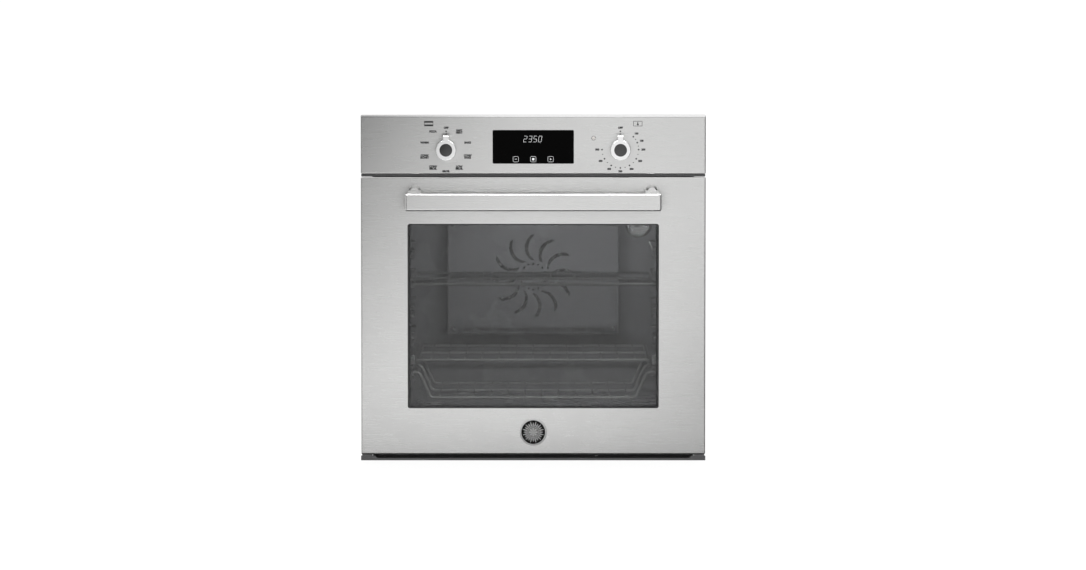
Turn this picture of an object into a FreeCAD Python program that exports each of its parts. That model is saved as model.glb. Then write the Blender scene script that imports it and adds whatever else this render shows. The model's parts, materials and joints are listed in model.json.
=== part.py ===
"""Built-in electric wall oven, 60 cm class, as an assembly of separate parts.

Millimetres. X runs to the right seen from the front, Y to the back, Z up. While the pieces are made,
Y = 0 is the cabinet's face, where the front frame's flanges bear. export() then moves every piece so
that the overall box is centred on X and Y and the oven stands on Z = 0.
"""

import FreeCAD
import Part
import math
import os

V = FreeCAD.Vector
os.makedirs("parts", exist_ok=True)

# ---------------------------------------------------------------- driving dimensions
FRONT_W = 595.0            # width of the door and the control fascia
FRONT_H = 597.0            # height of the whole front
FASCIA_H = 102.0           # height of the control fascia
FASCIA_GAP = 5.0           # dark gap between fascia and door
DOOR_Z0 = 10.3             # height of the door's lower edge
FRONT_PROUD = 28.0         # how far door and fascia stand in front of the cabinet
SIDE_LAP = 19.5            # how far the front laps past the casing on each side
TOP_LAP = 20.0             # and above it
EDGE_R = 2.5               # rounding of the folded front edges
SKIN_T = 1.2               # stainless sheet of the front
SHEET_T = 1.0              # galvanised sheet of the casing
BODY_D = 545.0             # casing depth behind the cabinet's face

WINDOW_W = 433.5           # opening in the door skin
WINDOW_H = 319.0
WINDOW_Z0 = 90.3
WINDOW_R = 4.0
GLASS_T = 4.0

CAVITY_W = 464.0           # inside of the oven cavity
CAVITY_H = 356.0
CAVITY_Z0 = 82.0
CAVITY_D = 415.0
CAVITY_R = 22.0
LINER_T = 1.2
FRAME_Y = 13.0             # front face of the recessed front frame, behind the cabinet's face
GASKET_GAP = 5.0           # between the closed door's inner glass and the front frame
INSULATION_T = 26.0
BLANKET_GAP = 0.5          # between the liner and its insulation

BAR_LENGTH = 440.0         # handle bar
BAR_H = 30.0
BAR_D = 22.0
BAR_DROP = 26.0            # top of the bar below the door's upper edge
BAR_GAP = 40.0             # finger gap between bar and door
POST_X = 204.0
POST_R = 7.0
POST_DROP = 23.5           # bracket post below the door's upper edge

KNOB_X = 150.0             # both knobs, left and right of the middle
KNOB_RISE = 42.2           # knobs above the fascia's lower edge
KNOB_R = 17.8
KNOB_H = 27.0
KNOB_GAP = 2.0             # knob's back to the fascia
POINTER_REACH = 0.618 * KNOB_R     # how far the flag pointer stands out past the knob
POINTER_W = 0.73 * KNOB_R
CAP_R = 0.618 * KNOB_R
SHAFT_R = 3.0

DISPLAY_W = 140.0
DISPLAY_H = 58.0
DISPLAY_RISE = 18.0        # display above the fascia's lower edge
PILOT_X = 104.0
PILOT_RISE = 62.0
PILOT_R = 3.0

HINGE_Y = -14.0            # door pivot, measured from the cabinet's face
HINGE_Z = 23.3
PIN_R = 4.0
RUNNING = 0.05             # radial clearance of a turning fit
FIT = 0.3                  # clearance between pieces that only sit in each other

FAN_DROP = 146.0           # convection fan below the cavity's ceiling
FAN_R = 74.0
BAFFLE_D = 42.0            # depth of the fan chamber
BAFFLE_W = 310.0
BAFFLE_H = 210.0
SLOT_COUNT = 12

LEVELS = 5                 # shelf levels of the side racks
LEVEL_RISE = 59.6          # lowest level above the cavity's floor
TOP_LEVEL = 0.777           # top wire of the highest level, as a share of the cavity's height
PAIR_GAP = 12.7
LADDER_R = 2.2             # rungs of the side racks
LADDER_POST_R = 2.8        # and their frames
LADDER_REACH = 24.0        # ladder wires from the cavity's side wall
ROD_R = 3.0                # side rods of the racks
CROSS_R = 2.6              # cross rods
DROP_BEND = 9.0            # bend radius of the deep rack's cross rods
WIRE_R = 1.6               # cross wires of the racks
WIRE_PITCH = 29.5
RAIL_H = 17.0              # telescopic rails
RAIL_RISE = 15.2           # middle of the rail above the wire that it clips on
DROP = 38.6                # depth of the deep rack below its level

ROTOR_R = 22.0             # cross-flow cooling rotor
ROTOR_L = 180.0
ROTOR_Y = 205.0
SCROLL_GAP = 8.0           # air space between rotor and housing

# ---------------------------------------------------------------- derived places
HALF_W = FRONT_W / 2
HALF_BODY = HALF_W - SIDE_LAP
BODY_H = FRONT_H - TOP_LAP
FACE_Y = -FRONT_PROUD
FASCIA_Z0 = FRONT_H - FASCIA_H
DOOR_Z1 = FASCIA_Z0 - FASCIA_GAP
KNOB_Z = FASCIA_Z0 + KNOB_RISE
POINTER_TIP = KNOB_R + POINTER_REACH
DISPLAY_Z0 = FASCIA_Z0 + DISPLAY_RISE
PILOT_Z = FASCIA_Z0 + PILOT_RISE
POST_Z = DOOR_Z1 - POST_DROP
WINDOW_Z1 = WINDOW_Z0 + WINDOW_H
CAVITY_Z1 = CAVITY_Z0 + CAVITY_H
HALF_CAVITY = CAVITY_W / 2
MOUTH_Y = FRAME_Y + SHEET_T
DOOR_BACK_Y = FRAME_Y - GASKET_GAP
REAR_Y = MOUTH_Y + CAVITY_D
BAFFLE_Y = REAR_Y - BAFFLE_D
MOTOR_Y = REAR_Y + 50.0    # end of the fan shaft
FAN_Z = CAVITY_Z1 - FAN_DROP
DECK_Z = CAVITY_Z1 + LINER_T + BLANKET_GAP + INSULATION_T
DECK_TOP = DECK_Z + SHEET_T
ROTOR_Z = DECK_TOP + ROTOR_R + SCROLL_GAP + SHEET_T
DUCT_TOP = ROTOR_Z - 6.0
BAR_Z1 = DOOR_Z1 - BAR_DROP
BAR_Z0 = BAR_Z1 - BAR_H
BAR_Y1 = FACE_Y - BAR_GAP
BAR_Y0 = BAR_Y1 - BAR_D
LEVEL_Z0 = CAVITY_Z0 + LEVEL_RISE
LEVEL_PITCH = (TOP_LEVEL * CAVITY_H - LEVEL_RISE - PAIR_GAP) / (LEVELS - 1)
LADDER_X = HALF_CAVITY - LADDER_REACH
LADDER_Y0 = MOUTH_Y + 46.0
LADDER_Y1 = BAFFLE_Y - 35.0
RACK_Y0 = MOUTH_Y + 20.0
RACK_Y1 = BAFFLE_Y - 15.0
RAIL_Z = LEVEL_Z0 + PAIR_GAP + RAIL_RISE
RAIL_X0 = LADDER_X - 3.0
RAIL_X1 = LADDER_X + 9.0
RAIL_Y0 = MOUTH_Y + 30.0
RAIL_Y1 = BAFFLE_Y - 11.0
DROP_Z = LEVEL_Z0 - DROP
FRAME_X = HALF_BODY - 10.0     # half width of the door's inner frame
HINGE_X = FRAME_X - 28.0
GLAND_PROUD = 3.0
FRONT_EXTENT = -BAR_Y0
BACK_EXTENT = BODY_D + GLAND_PROUD
CENTRE_SHIFT = V(0, (FRONT_EXTENT - BACK_EXTENT) / 2, 0)
SIDES = {"left": -1, "right": 1}


# ---------------------------------------------------------------- helpers
def export(name, *shapes):
    """Writes one node. Several shapes stay separate solids in it."""
    solids = [s for shape in shapes for s in shape.Solids]
    shape = solids[0].copy() if len(solids) == 1 else Part.makeCompound(solids)
    shape.translate(CENTRE_SHIFT)
    shape.exportStep(f"parts/{name}.step")


def block(x0, x1, y0, y1, z0, z1):
    return Part.makeBox(x1 - x0, y1 - y0, z1 - z0, V(x0, y0, z0))


def slab(half_x, y0, y1, z0, z1):
    """A box centred on X = 0."""
    return block(-half_x, half_x, y0, y1, z0, z1)


def rod_x(x0, x1, y, z, r):
    return Part.makeCylinder(r, x1 - x0, V(x0, y, z), V(1, 0, 0))


def rod_y(x, y0, y1, z, r):
    return Part.makeCylinder(r, y1 - y0, V(x, y0, z), V(0, 1, 0))


def rod_z(x, y, z0, z1, r):
    return Part.makeCylinder(r, z1 - z0, V(x, y, z0), V(0, 0, 1))


def round_rod_y(x, y0, y1, z, r):
    """A rod along Y with rounded ends."""
    return fillet_where(rod_y(x, y0, y1, z, r), 0.6 * r, lambda b: b.YLength < 1e-6)


def fuse(shapes):
    return shapes[0].multiFuse(shapes[1:]).removeSplitter() if len(shapes) > 1 else shapes[0]


def cut(shape, tools):
    return shape.cut(Part.makeCompound(tools)) if tools else shape


def fillet_where(shape, radius, test):
    """Rounds the edges whose bounding box passes the test."""
    return shape.makeFillet(radius, [e for e in shape.Edges if test(e.BoundBox)])


def along_y(box):
    return box.YLength > 0.5 and box.XLength < 1e-6 and box.ZLength < 1e-6


def rounded_slab(x0, x1, y0, y1, z0, z1, r):
    """A plate across Y with its four corner edges rounded."""
    return fillet_where(block(x0, x1, y0, y1, z0, z1), r, along_y)


def pan(half_x, y0, y1, z0, z1, t, r):
    """A folded sheet tray, open to the back, with its front edges and corners rounded."""
    outer = slab(half_x, y0, y1, z0, z1)
    outer = fillet_where(outer, r, lambda b: along_y(b) or b.YMax < y0 + 1e-6)
    inner = slab(half_x - t, y0 + t, y1 + r, z0 + t, z1 - t)
    inner = fillet_where(inner, r - t, lambda b: along_y(b) or b.YMax < y0 + t + 1e-6)
    return outer.cut(inner)


def tube(points, r, bend):
    """A bent rod through the points, with arcs of one bend radius at the corners."""
    edges, start = [], points[0]
    for before, corner, after in zip(points, points[1:], points[2:]):
        a = (before - corner).normalize()
        b = (after - corner).normalize()
        half = a.getAngle(b) / 2
        back = bend / math.tan(half)
        p, q = corner + a * back, corner + b * back
        middle = (a + b).normalize()
        top = corner + middle * (bend / math.sin(half) - bend)
        if (p - start).Length > 1e-6:
            edges.append(Part.LineSegment(start, p).toShape())
        edges.append(Part.Arc(p, top, q).toShape())
        start = q
    if (points[-1] - start).Length > 1e-6:
        edges.append(Part.LineSegment(start, points[-1]).toShape())
    path = Part.Wire(edges)
    direction = (points[1] - points[0]).normalize()
    section = Part.Wire(Part.makeCircle(r, points[0], direction))
    return path.makePipeShell([section], True, False)


def prism_xz(points, y0, y1):
    """Extrudes an outline given as (x, z) points along Y."""
    wire = Part.makePolygon([V(x, y0, z) for x, z in points + points[:1]])
    return Part.Face(wire).extrude(V(0, y1 - y0, 0))


# ---------------------------------------------------------------- casing
BRACKET_Y = -6.0           # front face of the plate that carries the controls


def base_pan():
    flange = 22.0
    x = HALF_BODY - SHEET_T
    floor = slab(x, MOUTH_Y, BODY_D - SHEET_T, 0, SKIN_T)
    sides = [block(s * x - (SHEET_T if s > 0 else 0), s * x + (0 if s > 0 else SHEET_T),
                   MOUTH_Y, BODY_D - SHEET_T, SKIN_T, flange) for s in (-1, 1)]
    ribs = [rounded_slab(-200, 200, y, y + 14, SKIN_T, SKIN_T + 3, 1) for y in (200, 300, 400)]
    export("base_pan", fuse([floor] + sides + ribs))


SCREW_R = 1.7
SCREW_HEAD_R = 3.6
SCREW_HEAD_H = 2.0
SCREW_ROWS = [60.0 + k * (BODY_H - 97.0) / 3 for k in range(4)]
REAR_SCREWS = [(s * (HALF_BODY - 8.0), z) for s in (-1, 1) for z in SCREW_ROWS]


def side_panels():
    for name, s in SIDES.items():
        x_out, x_in = s * HALF_BODY, s * (HALF_BODY - SHEET_T)
        wall = block(min(x_out, x_in), max(x_out, x_in), 0, BODY_D - SHEET_T, 0, BODY_H - SHEET_T)
        notch = block(min(x_out, x_in) - 1, max(x_out, x_in) + 1, -1, MOUTH_Y,
                      FLANGE_Z0 - FIT, FLANGE_Z1 + FIT)
        x_lip = s * (HALF_BODY - 16.0)
        lip = block(min(x_in, x_lip), max(x_in, x_lip), BODY_D - 2 * SHEET_T, BODY_D - SHEET_T,
                    30, BODY_H - 20)
        holes = [rod_y(x, BODY_D - 4, BODY_D, z, SCREW_R + FIT) for x, z in REAR_SCREWS if x * s > 0]
        slots = [block(min(x_out, x_in) - 1, max(x_out, x_in) + 1, y, y + 30, BODY_H - 57, BODY_H - 53)
                 for y in range(330, 490, 42)]
        export(f"side_panel_{name}", cut(fuse([wall, lip]), holes + slots + [notch]))


def top_cover():
    plate = slab(HALF_BODY, BRACKET_Y + SHEET_T, BODY_D, BODY_H - SHEET_T, BODY_H)
    x = HALF_BODY - SHEET_T
    lips = [block(min(s * x, s * (x - SHEET_T)), max(s * x, s * (x - SHEET_T)),
                  MOUTH_Y + 20, BODY_D - 20, BODY_H - 14, BODY_H - SHEET_T) for s in (-1, 1)]
    ribs = [rounded_slab(-180, 180, y, y + 10, BODY_H, BODY_H + 1.5, 0.7) for y in (120, 260)]
    slots = [block(x0, x0 + 36, y, y + 4, BODY_H - 3, BODY_H + 3)
             for y in range(400, 500, 14) for x0 in range(-150, 150, 50)]
    export("top_cover", cut(fuse([plate] + lips + ribs), slots))


GLAND_X = -180.0
GLAND_Z = BODY_H - 57.0
GLAND_R = 10.0
GLAND_BORE = 6.5


def service_deck():
    """The sheet over the insulation that carries the blower and the electric boards."""
    deck = slab(HALF_BODY - SHEET_T, MOUTH_Y, BODY_D - 2 * SHEET_T, DECK_Z, DECK_TOP)
    ribs = [slab(HALF_BODY - 30, y, y + 1.2, DECK_TOP, DECK_TOP + 6) for y in (250.0, 440.0)]
    export("service_deck", fuse([deck] + ribs))


def rear_cover():
    plate = slab(HALF_BODY - SHEET_T, BODY_D - SHEET_T, BODY_D, SHEET_T, BODY_H - SHEET_T)
    holes = [rod_y(x, BODY_D - 3, BODY_D + 1, z, SCREW_R + FIT) for x, z in REAR_SCREWS]
    gland = rod_y(GLAND_X, BODY_D - 3, BODY_D + 1, GLAND_Z, GLAND_R + FIT)
    louvres = [block(x, x + 44, BODY_D - 3, BODY_D + 1, z, z + 4)
               for z in (BODY_H - 147 + 13 * k for k in range(7)) for x in (-70, -18, 34)]
    lower = [block(x, x + 44, BODY_D - 3, BODY_D + 1, z, z + 4)
             for z in (70, 84, 98) for x in (-174, -122, 78, 130)]
    export("rear_cover", cut(plate, holes + [gland] + louvres + lower))


def casing_screws():
    screws = []
    for x, z in REAR_SCREWS:
        head = rod_y(x, BODY_D, BODY_D + SCREW_HEAD_H, z, SCREW_HEAD_R)
        head = fillet_where(head, 0.9, lambda b: b.YMin > BODY_D + SCREW_HEAD_H - 1e-6)
        cross = [block(x - 2, x + 2, BODY_D + 1, BODY_D + 3, z - 0.4, z + 0.4),
                 block(x - 0.4, x + 0.4, BODY_D + 1, BODY_D + 3, z - 2, z + 2)]
        shank = rod_y(x, BODY_D - 7, BODY_D, z, SCREW_R)
        screws.append(cut(fuse([head, shank]), cross))
    export("casing_screws", *screws)


# ---------------------------------------------------------------- front frame and trim
MOUNT_X = HALF_BODY + 9.0
MOUNT_ZS = (120.0, 400.0)
MOUNT_HOLE_R = 2.75
FLANGE_X = HALF_BODY + 18.0
FLANGE_Z0 = 40.0
FLANGE_Z1 = DOOR_Z1 - 5.0
FLANGE_IN = HALF_BODY - SHEET_T
FRAME_Z1 = FASCIA_Z0 + FASCIA_GAP - SHEET_T
CLAW_T = 6.0


def front_frame():
    plate = slab(FLANGE_IN, FRAME_Y, MOUTH_Y, SKIN_T, FRAME_Z1)
    walls, flanges = [], []
    for s in (-1, 1):
        x0, x1 = sorted((s * FLANGE_IN, s * HALF_BODY))
        walls.append(block(x0, x1, -SHEET_T, MOUTH_Y, FLANGE_Z0, FLANGE_Z1))
        f0, f1 = sorted((s * FLANGE_IN, s * FLANGE_X))
        flanges.append(block(f0, f1, -SHEET_T, 0, FLANGE_Z0, FLANGE_Z1))
    mouth = rounded_slab(-HALF_CAVITY, HALF_CAVITY, 0, 30, CAVITY_Z0, CAVITY_Z1, CAVITY_R)
    slots = [block(s * HINGE_X - CLAW_T / 2 - 2, s * HINGE_X + CLAW_T / 2 + 2, 0, 30,
                   HINGE_Z - 8, HINGE_Z + 8) for s in (-1, 1)]
    holes = [rod_y(s * MOUNT_X, -5, 5, z, MOUNT_HOLE_R) for s in (-1, 1) for z in MOUNT_ZS]
    outlet = slab(ROTOR_L / 2 - 2, 0, 30, DECK_TOP + 3, DUCT_TOP - 3)
    export("front_frame", cut(fuse([plate] + walls + flanges), [mouth, outlet] + slots + holes))


def vent_trim():
    lip_z, corner_z, end = 4.0, 8.2, 24.0
    plate = slab(HALF_BODY - SHEET_T, FACE_Y, MOUTH_Y, 0, SKIN_T)
    ears = slab(HALF_W - 1, FACE_Y, -2, 0, SKIN_T)
    upstand = slab(HALF_BODY - 20, FRAME_Y - 1, FRAME_Y, 0, 12)
    inner = HALF_W - end
    outline = [(-HALF_W, 0), (HALF_W, 0), (HALF_W, corner_z), (inner, corner_z),
               (inner - (corner_z - lip_z), lip_z), (-inner + (corner_z - lip_z), lip_z),
               (-inner, corner_z), (-HALF_W, corner_z)]
    front = prism_xz(outline, FACE_Y, FACE_Y + SKIN_T)
    ribs = [slab(HALF_BODY - 20, y, y + 1, SKIN_T, SKIN_T + 1.2) for y in (-2.0, 4.0)]
    export("vent_trim", fuse([plate, ears, front, upstand] + ribs))


def door_gasket():
    """Silicone seal round the cavity mouth, just short of the closed door's inner glass."""
    r, inset = (FRAME_Y - DOOR_BACK_Y - FIT) / 2, 8.0
    x, z0, z1 = HALF_CAVITY + inset, CAVITY_Z0 - inset, CAVITY_Z1 + inset
    y = FRAME_Y - r
    corner = CAVITY_R + 4.0
    pts = [V(0, y, z0), V(x, y, z0), V(x, y, z1), V(-x, y, z1), V(-x, y, z0), V(0, y, z0)]
    export("door_gasket", tube(pts, r, corner))


# ---------------------------------------------------------------- cavity
LAMP_X = HALF_CAVITY - 42.0
LAMP_Z = CAVITY_Z1 - 53.0
LAMP_R = 24.0
PROBE_X = 47.0 - HALF_CAVITY
PROBE_Z = CAVITY_Z1 - 33.0
PROBE_R = 2.6
BROIL_Z = CAVITY_Z1 - 17.0
ELEMENT_R = 3.2
BROIL_LEAD = 30.0
RING_R = 92.0
RING_Y = REAR_Y - 22.0
RING_LEAD = 12.0
RING_LEAD_Z = FAN_Z - math.sqrt(RING_R ** 2 - RING_LEAD ** 2)
BAKE_Z = CAVITY_Z0 - LINER_T - 7.0
BAKE_GAP = 16.0
STUD_X = 27.0
STUD_R = 3.0


def rear_penetrations(grow):
    """Everything that goes through the cavity's rear wall, grown by a clearance."""
    y0, y1 = REAR_Y - 6, MOTOR_Y + 6
    return [rod_y(0, y0, y1, FAN_Z, SHAFT_R + 1 + grow),
            rod_y(LAMP_X, y0, y1, LAMP_Z, LAMP_R - 2 + grow),
            rod_y(PROBE_X, y0, y1, PROBE_Z, PROBE_R + grow)] + [
            rod_y(s * BROIL_LEAD, y0, y1, BROIL_Z, ELEMENT_R + grow) for s in (-1, 1)] + [
            rod_y(s * RING_LEAD, y0, y1, RING_LEAD_Z, ELEMENT_R + grow) for s in (-1, 1)]


def motor_studs(y0, y1, r):
    """The four posts that hold the fan motor off the cavity's rear wall."""
    return [rod_y(sx * STUD_X, y0, y1, FAN_Z + sz * STUD_X, r) for sx in (-1, 1) for sz in (-1, 1)]


def cavity_liner():
    h, z0, z1 = HALF_CAVITY, CAVITY_Z0, CAVITY_Z1
    outer = rounded_slab(-h - LINER_T, h + LINER_T, MOUTH_Y, REAR_Y + LINER_T,
                         z0 - LINER_T, z1 + LINER_T, CAVITY_R + LINER_T)
    inner = rounded_slab(-h, h, MOUTH_Y - 5, REAR_Y, z0, z1, CAVITY_R)
    flange = slab(h + 20, MOUTH_Y, MOUTH_Y + LINER_T, z0 - 20, z1 + 20)
    shell = outer.fuse(flange).cut(inner)
    export("cavity_liner", cut(shell, rear_penetrations(FIT)))


def insulation_blanket():
    gap = BLANKET_GAP
    h, z0, z1 = HALF_CAVITY + LINER_T + gap, CAVITY_Z0 - LINER_T - BAKE_GAP, CAVITY_Z1 + LINER_T + gap
    y0, y1 = MOUTH_Y + LINER_T + gap, REAR_Y + LINER_T + gap
    t = INSULATION_T
    outer = slab(h + t, y0, y1 + t, z0 - t + 12, z1 + t)
    inner = slab(h, y0 - 5, y1, z0, z1)
    leads = [rod_y(s * BROIL_LEAD, y1 - 2, y1 + t + 5, BAKE_Z, ELEMENT_R + 1) for s in (-1, 1)]
    studs = motor_studs(y1 - 2, y1 + t + 5, STUD_R + 1)
    export("insulation_blanket", cut(outer.cut(inner), rear_penetrations(1.5) + leads + studs))


def curved_slot(angle):
    """One swirl slot of the fan baffle: an arc band from the hub outwards."""
    r0, r1, width, bow = 30.0, 76.0, 6.5, 12.0
    outlines = []
    for side in (-1, 1):
        a, b = V(r0, 0, side * width / 2 * 0.8), V(r1, 0, side * width / 2)
        middle = V((r0 + r1) / 2, 0, bow + side * width / 2)
        outlines.append((a, middle, b))
    (a0, m0, b0), (a1, m1, b1) = outlines
    edges = [Part.Arc(a0, m0, b0).toShape(), Part.LineSegment(b0, b1).toShape(),
             Part.Arc(b1, m1, a1).toShape(), Part.LineSegment(a1, a0).toShape()]
    band = Part.Face(Part.Wire(edges)).extrude(V(0, 12, 0))
    band.rotate(V(0, 0, 0), V(0, 1, 0), angle)
    band.translate(V(0, BAFFLE_Y - 6, FAN_Z))
    return band


def fan_baffle():
    x, z0, z1 = BAFFLE_W / 2, FAN_Z - BAFFLE_H / 2, FAN_Z + BAFFLE_H / 2
    tray = pan(x, BAFFLE_Y, REAR_Y, z0, z1, SHEET_T, 4.0)
    flat = 96.0
    ring = [(r / math.cos(math.pi / 8) * math.cos(math.pi / 8 + k * math.pi / 4),
             FAN_Z + r / math.cos(math.pi / 8) * math.sin(math.pi / 8 + k * math.pi / 4))
            for r in (flat,) for k in range(8)]
    inner = [(px * (flat - 3) / flat, FAN_Z + (pz - FAN_Z) * (flat - 3) / flat) for px, pz in ring]
    octagon = prism_xz(ring, BAFFLE_Y - 1.5, BAFFLE_Y + 0.4).cut(
        prism_xz(inner, BAFFLE_Y - 3, BAFFLE_Y + 3))
    boss = rod_y(0, BAFFLE_Y - 2.5, BAFFLE_Y + 0.4, FAN_Z, 17)
    swirl = [curved_slot(k * 360 / SLOT_COUNT) for k in range(SLOT_COUNT)]
    holes = [rod_y(23 * math.cos(a), BAFFLE_Y - 5, BAFFLE_Y + 5, FAN_Z + 23 * math.sin(a), 2.0)
             for a in (k * math.pi / 8 for k in range(16))]
    outlets = [block(x0, x0 + 22, BAFFLE_Y - 2, BAFFLE_Y + 4, z0 + 7, z0 + 12)
               for x0 in range(-132, 120, 34)]
    sides = [block(s * x - 3, s * x + 3, BAFFLE_Y + 10, REAR_Y - 8, z, z + 24)
             for s in (-1, 1) for z in range(int(z0) + 14, int(z1) - 30, 34)]
    export("fan_baffle", cut(fuse([tray, octagon, boss]), swirl + holes + outlets + sides))


def convection_fan():
    disc = rod_y(0, REAR_Y - 9, REAR_Y - 7.5, FAN_Z, FAN_R)
    hub = rod_y(0, REAR_Y - 30, REAR_Y - 7.5, FAN_Z, 9)
    nut = rod_y(0, REAR_Y - 36, REAR_Y - 30, FAN_Z, 5.5)
    shaft = rod_y(0, REAR_Y - 36, MOTOR_Y, FAN_Z, SHAFT_R)
    blades = []
    for k in range(10):
        blade = block(30, FAN_R - 1, REAR_Y - 32, REAR_Y - 8.5, -0.7, 0.7)
        blade.rotate(V(52, 0, 0), V(0, 1, 0), 28)
        blade.rotate(V(0, 0, 0), V(0, 1, 0), k * 36)
        blade.translate(V(0, 0, FAN_Z))
        blades.append(blade)
    vents = [rod_y(18 * math.cos(a), REAR_Y - 12, REAR_Y, FAN_Z + 18 * math.sin(a), 3.5)
             for a in (k * math.pi / 3 for k in range(6))]
    export("convection_fan", cut(fuse([disc, hub, nut, shaft] + blades), vents))


def convection_motor():
    y0 = REAR_Y + LINER_T + INSULATION_T + 1.0
    plate = rounded_slab(-52, 52, y0, y0 + 1.5, FAN_Z - 40, FAN_Z + 40, 6)
    stator = rounded_slab(-34, 34, y0 + 12, y0 + 34, FAN_Z - 34, FAN_Z + 34, 5)
    legs = motor_studs(REAR_Y + LINER_T, y0 + 14, STUD_R)
    bell = rod_y(0, y0 + 34, y0 + 44, FAN_Z, 16)
    coil = rounded_slab(-20, 20, y0 + 8, y0 + 38, FAN_Z + 34, FAN_Z + 50, 4)
    bore = rod_y(0, y0 - 2, MOTOR_Y + 4, FAN_Z, SHAFT_R + RUNNING)
    export("convection_motor", cut(fuse([plate, stator, bell, coil] + legs), [bore]))


def ring_element():
    """An open heating ring round the fan, with two leads through the rear wall."""
    lead_angle = math.asin(RING_LEAD / RING_R)
    z_end = RING_LEAD_Z
    start, end = V(RING_LEAD, RING_Y, z_end), V(-RING_LEAD, RING_Y, z_end)
    arc = Part.Arc(start, V(0, RING_Y, FAN_Z + RING_R), end).toShape()
    tangent = V(math.cos(lead_angle), 0, math.sin(lead_angle))
    section = Part.Wire(Part.makeCircle(ELEMENT_R, start, tangent))
    ring = Part.Wire([arc]).makePipeShell([section], True, False)
    leads = [rod_y(s * RING_LEAD, RING_Y, REAR_Y + 36, z_end, ELEMENT_R) for s in (-1, 1)]
    knees = [Part.makeSphere(ELEMENT_R, V(s * RING_LEAD, RING_Y, z_end)) for s in (-1, 1)]
    export("ring_element", ring.multiFuse(leads + knees))


def serpentine(z, y_front, y_turn, y_back, y_lead, pitch):
    """Flat heating loop: six legs joined by half turns, with both leads at the back."""
    a, b, c = BROIL_LEAD, BROIL_LEAD + pitch, BROIL_LEAD + 2 * pitch
    half = [(a, y_lead), (a, y_turn), (b, y_turn), (b, y_back), (c, y_back), (c, y_front)]
    points = [V(-x, y, z) for x, y in half] + [V(x, y, z) for x, y in reversed(half)]
    return tube(points, ELEMENT_R, pitch / 2)


def broil_element():
    loop = serpentine(BROIL_Z, 62.0, 92.0, 350.0, REAR_Y + 36, 60.0)
    straps = [block(-185, 185, y, y + 2, BROIL_Z + ELEMENT_R - 0.6, BROIL_Z + ELEMENT_R + 1.4)
              for y in (140, 290)]
    pegs = [rod_z(s * 178, y + 1, BROIL_Z + ELEMENT_R + 1, CAVITY_Z1, 2) for s in (-1, 1) for y in (140, 290)]
    export("broil_element", loop.multiFuse(straps + pegs))


def bake_element():
    pitch = 60.0
    loop = serpentine(BAKE_Z, 72.0, 102.0, 360.0, REAR_Y + 36, pitch)
    pegs = [rod_z(s * (BROIL_LEAD + k * pitch), y, BAKE_Z, CAVITY_Z0 - LINER_T, 2)
            for s in (-1, 1) for k in (1, 2) for y in (160, 300)]
    export("bake_element", loop.multiFuse(pegs))


def lamp():
    """A domed glass cover inside the cavity, and behind the wall a sleeve with socket and bulb."""
    y, glass, dome_r = REAR_Y, 3.0, 36.0
    centre = V(LAMP_X, y + 14, LAMP_Z)
    cover = Part.makeSphere(dome_r, centre).common(rod_y(LAMP_X, y - 30, y, LAMP_Z, LAMP_R))
    hollow = Part.makeSphere(dome_r - glass, centre).common(
        rod_y(LAMP_X, y - 30, y + 2, LAMP_Z, LAMP_R - 4))
    export("lamp_lens", cover.cut(hollow))
    sleeve = rod_y(LAMP_X, y, y + 40, LAMP_Z, LAMP_R - 2.5)
    sleeve = sleeve.cut(rod_y(LAMP_X, y - 1, y + 34, LAMP_Z, LAMP_R - 4))
    bulb = rod_y(LAMP_X, y + 12, y + 34.5, LAMP_Z, 6).fuse(Part.makeSphere(6, V(LAMP_X, y + 12, LAMP_Z)))
    socket = rod_y(LAMP_X, y + 26, y + 35, LAMP_Z, 9)
    export("lamp_holder", fuse([sleeve, bulb, socket]))


def temperature_probe():
    rod = rod_y(PROBE_X, REAR_Y - 70, REAR_Y + 20, PROBE_Z, PROBE_R)
    tip = Part.makeSphere(PROBE_R, V(PROBE_X, REAR_Y - 70, PROBE_Z))
    collar = rod_y(PROBE_X, REAR_Y - 3, REAR_Y, PROBE_Z, 6)
    export("temperature_probe", fuse([rod, tip, collar]))


# ---------------------------------------------------------------- side racks, rails and shelves
def side_racks():
    post_x = HALF_CAVITY - LADDER_POST_R - 1.0
    z_low = LEVEL_Z0 - 26
    z_top = LEVEL_Z0 + (LEVELS - 1) * LEVEL_PITCH + PAIR_GAP + 12
    for name, s in SIDES.items():
        frame = [V(s * post_x, LADDER_Y0, z_low - 5), V(s * post_x, LADDER_Y0, z_top),
                 V(s * post_x, LADDER_Y1, z_top), V(s * post_x, LADDER_Y1, z_low - 5)]
        wires = [tube(frame, LADDER_POST_R, 10.0),
                 rod_y(s * post_x, LADDER_Y0, LADDER_Y1, z_low, LADDER_R)]
        for level in range(LEVELS):
            for gap in (0, PAIR_GAP):
                z = LEVEL_Z0 + level * LEVEL_PITCH + gap
                rung = [V(s * post_x, LADDER_Y0, z), V(s * LADDER_X, LADDER_Y0, z),
                        V(s * LADDER_X, LADDER_Y1, z), V(s * post_x, LADDER_Y1, z)]
                wires.append(tube(rung, LADDER_R, 7.0))
        x0, x1 = sorted((s * post_x, s * HALF_CAVITY))
        wires += [rod_x(x0, x1, y, z, 3.5) for y in (LADDER_Y0, LADDER_Y1) for z in (z_low, z_top - 30)]
        export(f"side_rack_{name}", wires[0].multiFuse(wires[1:]))


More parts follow.
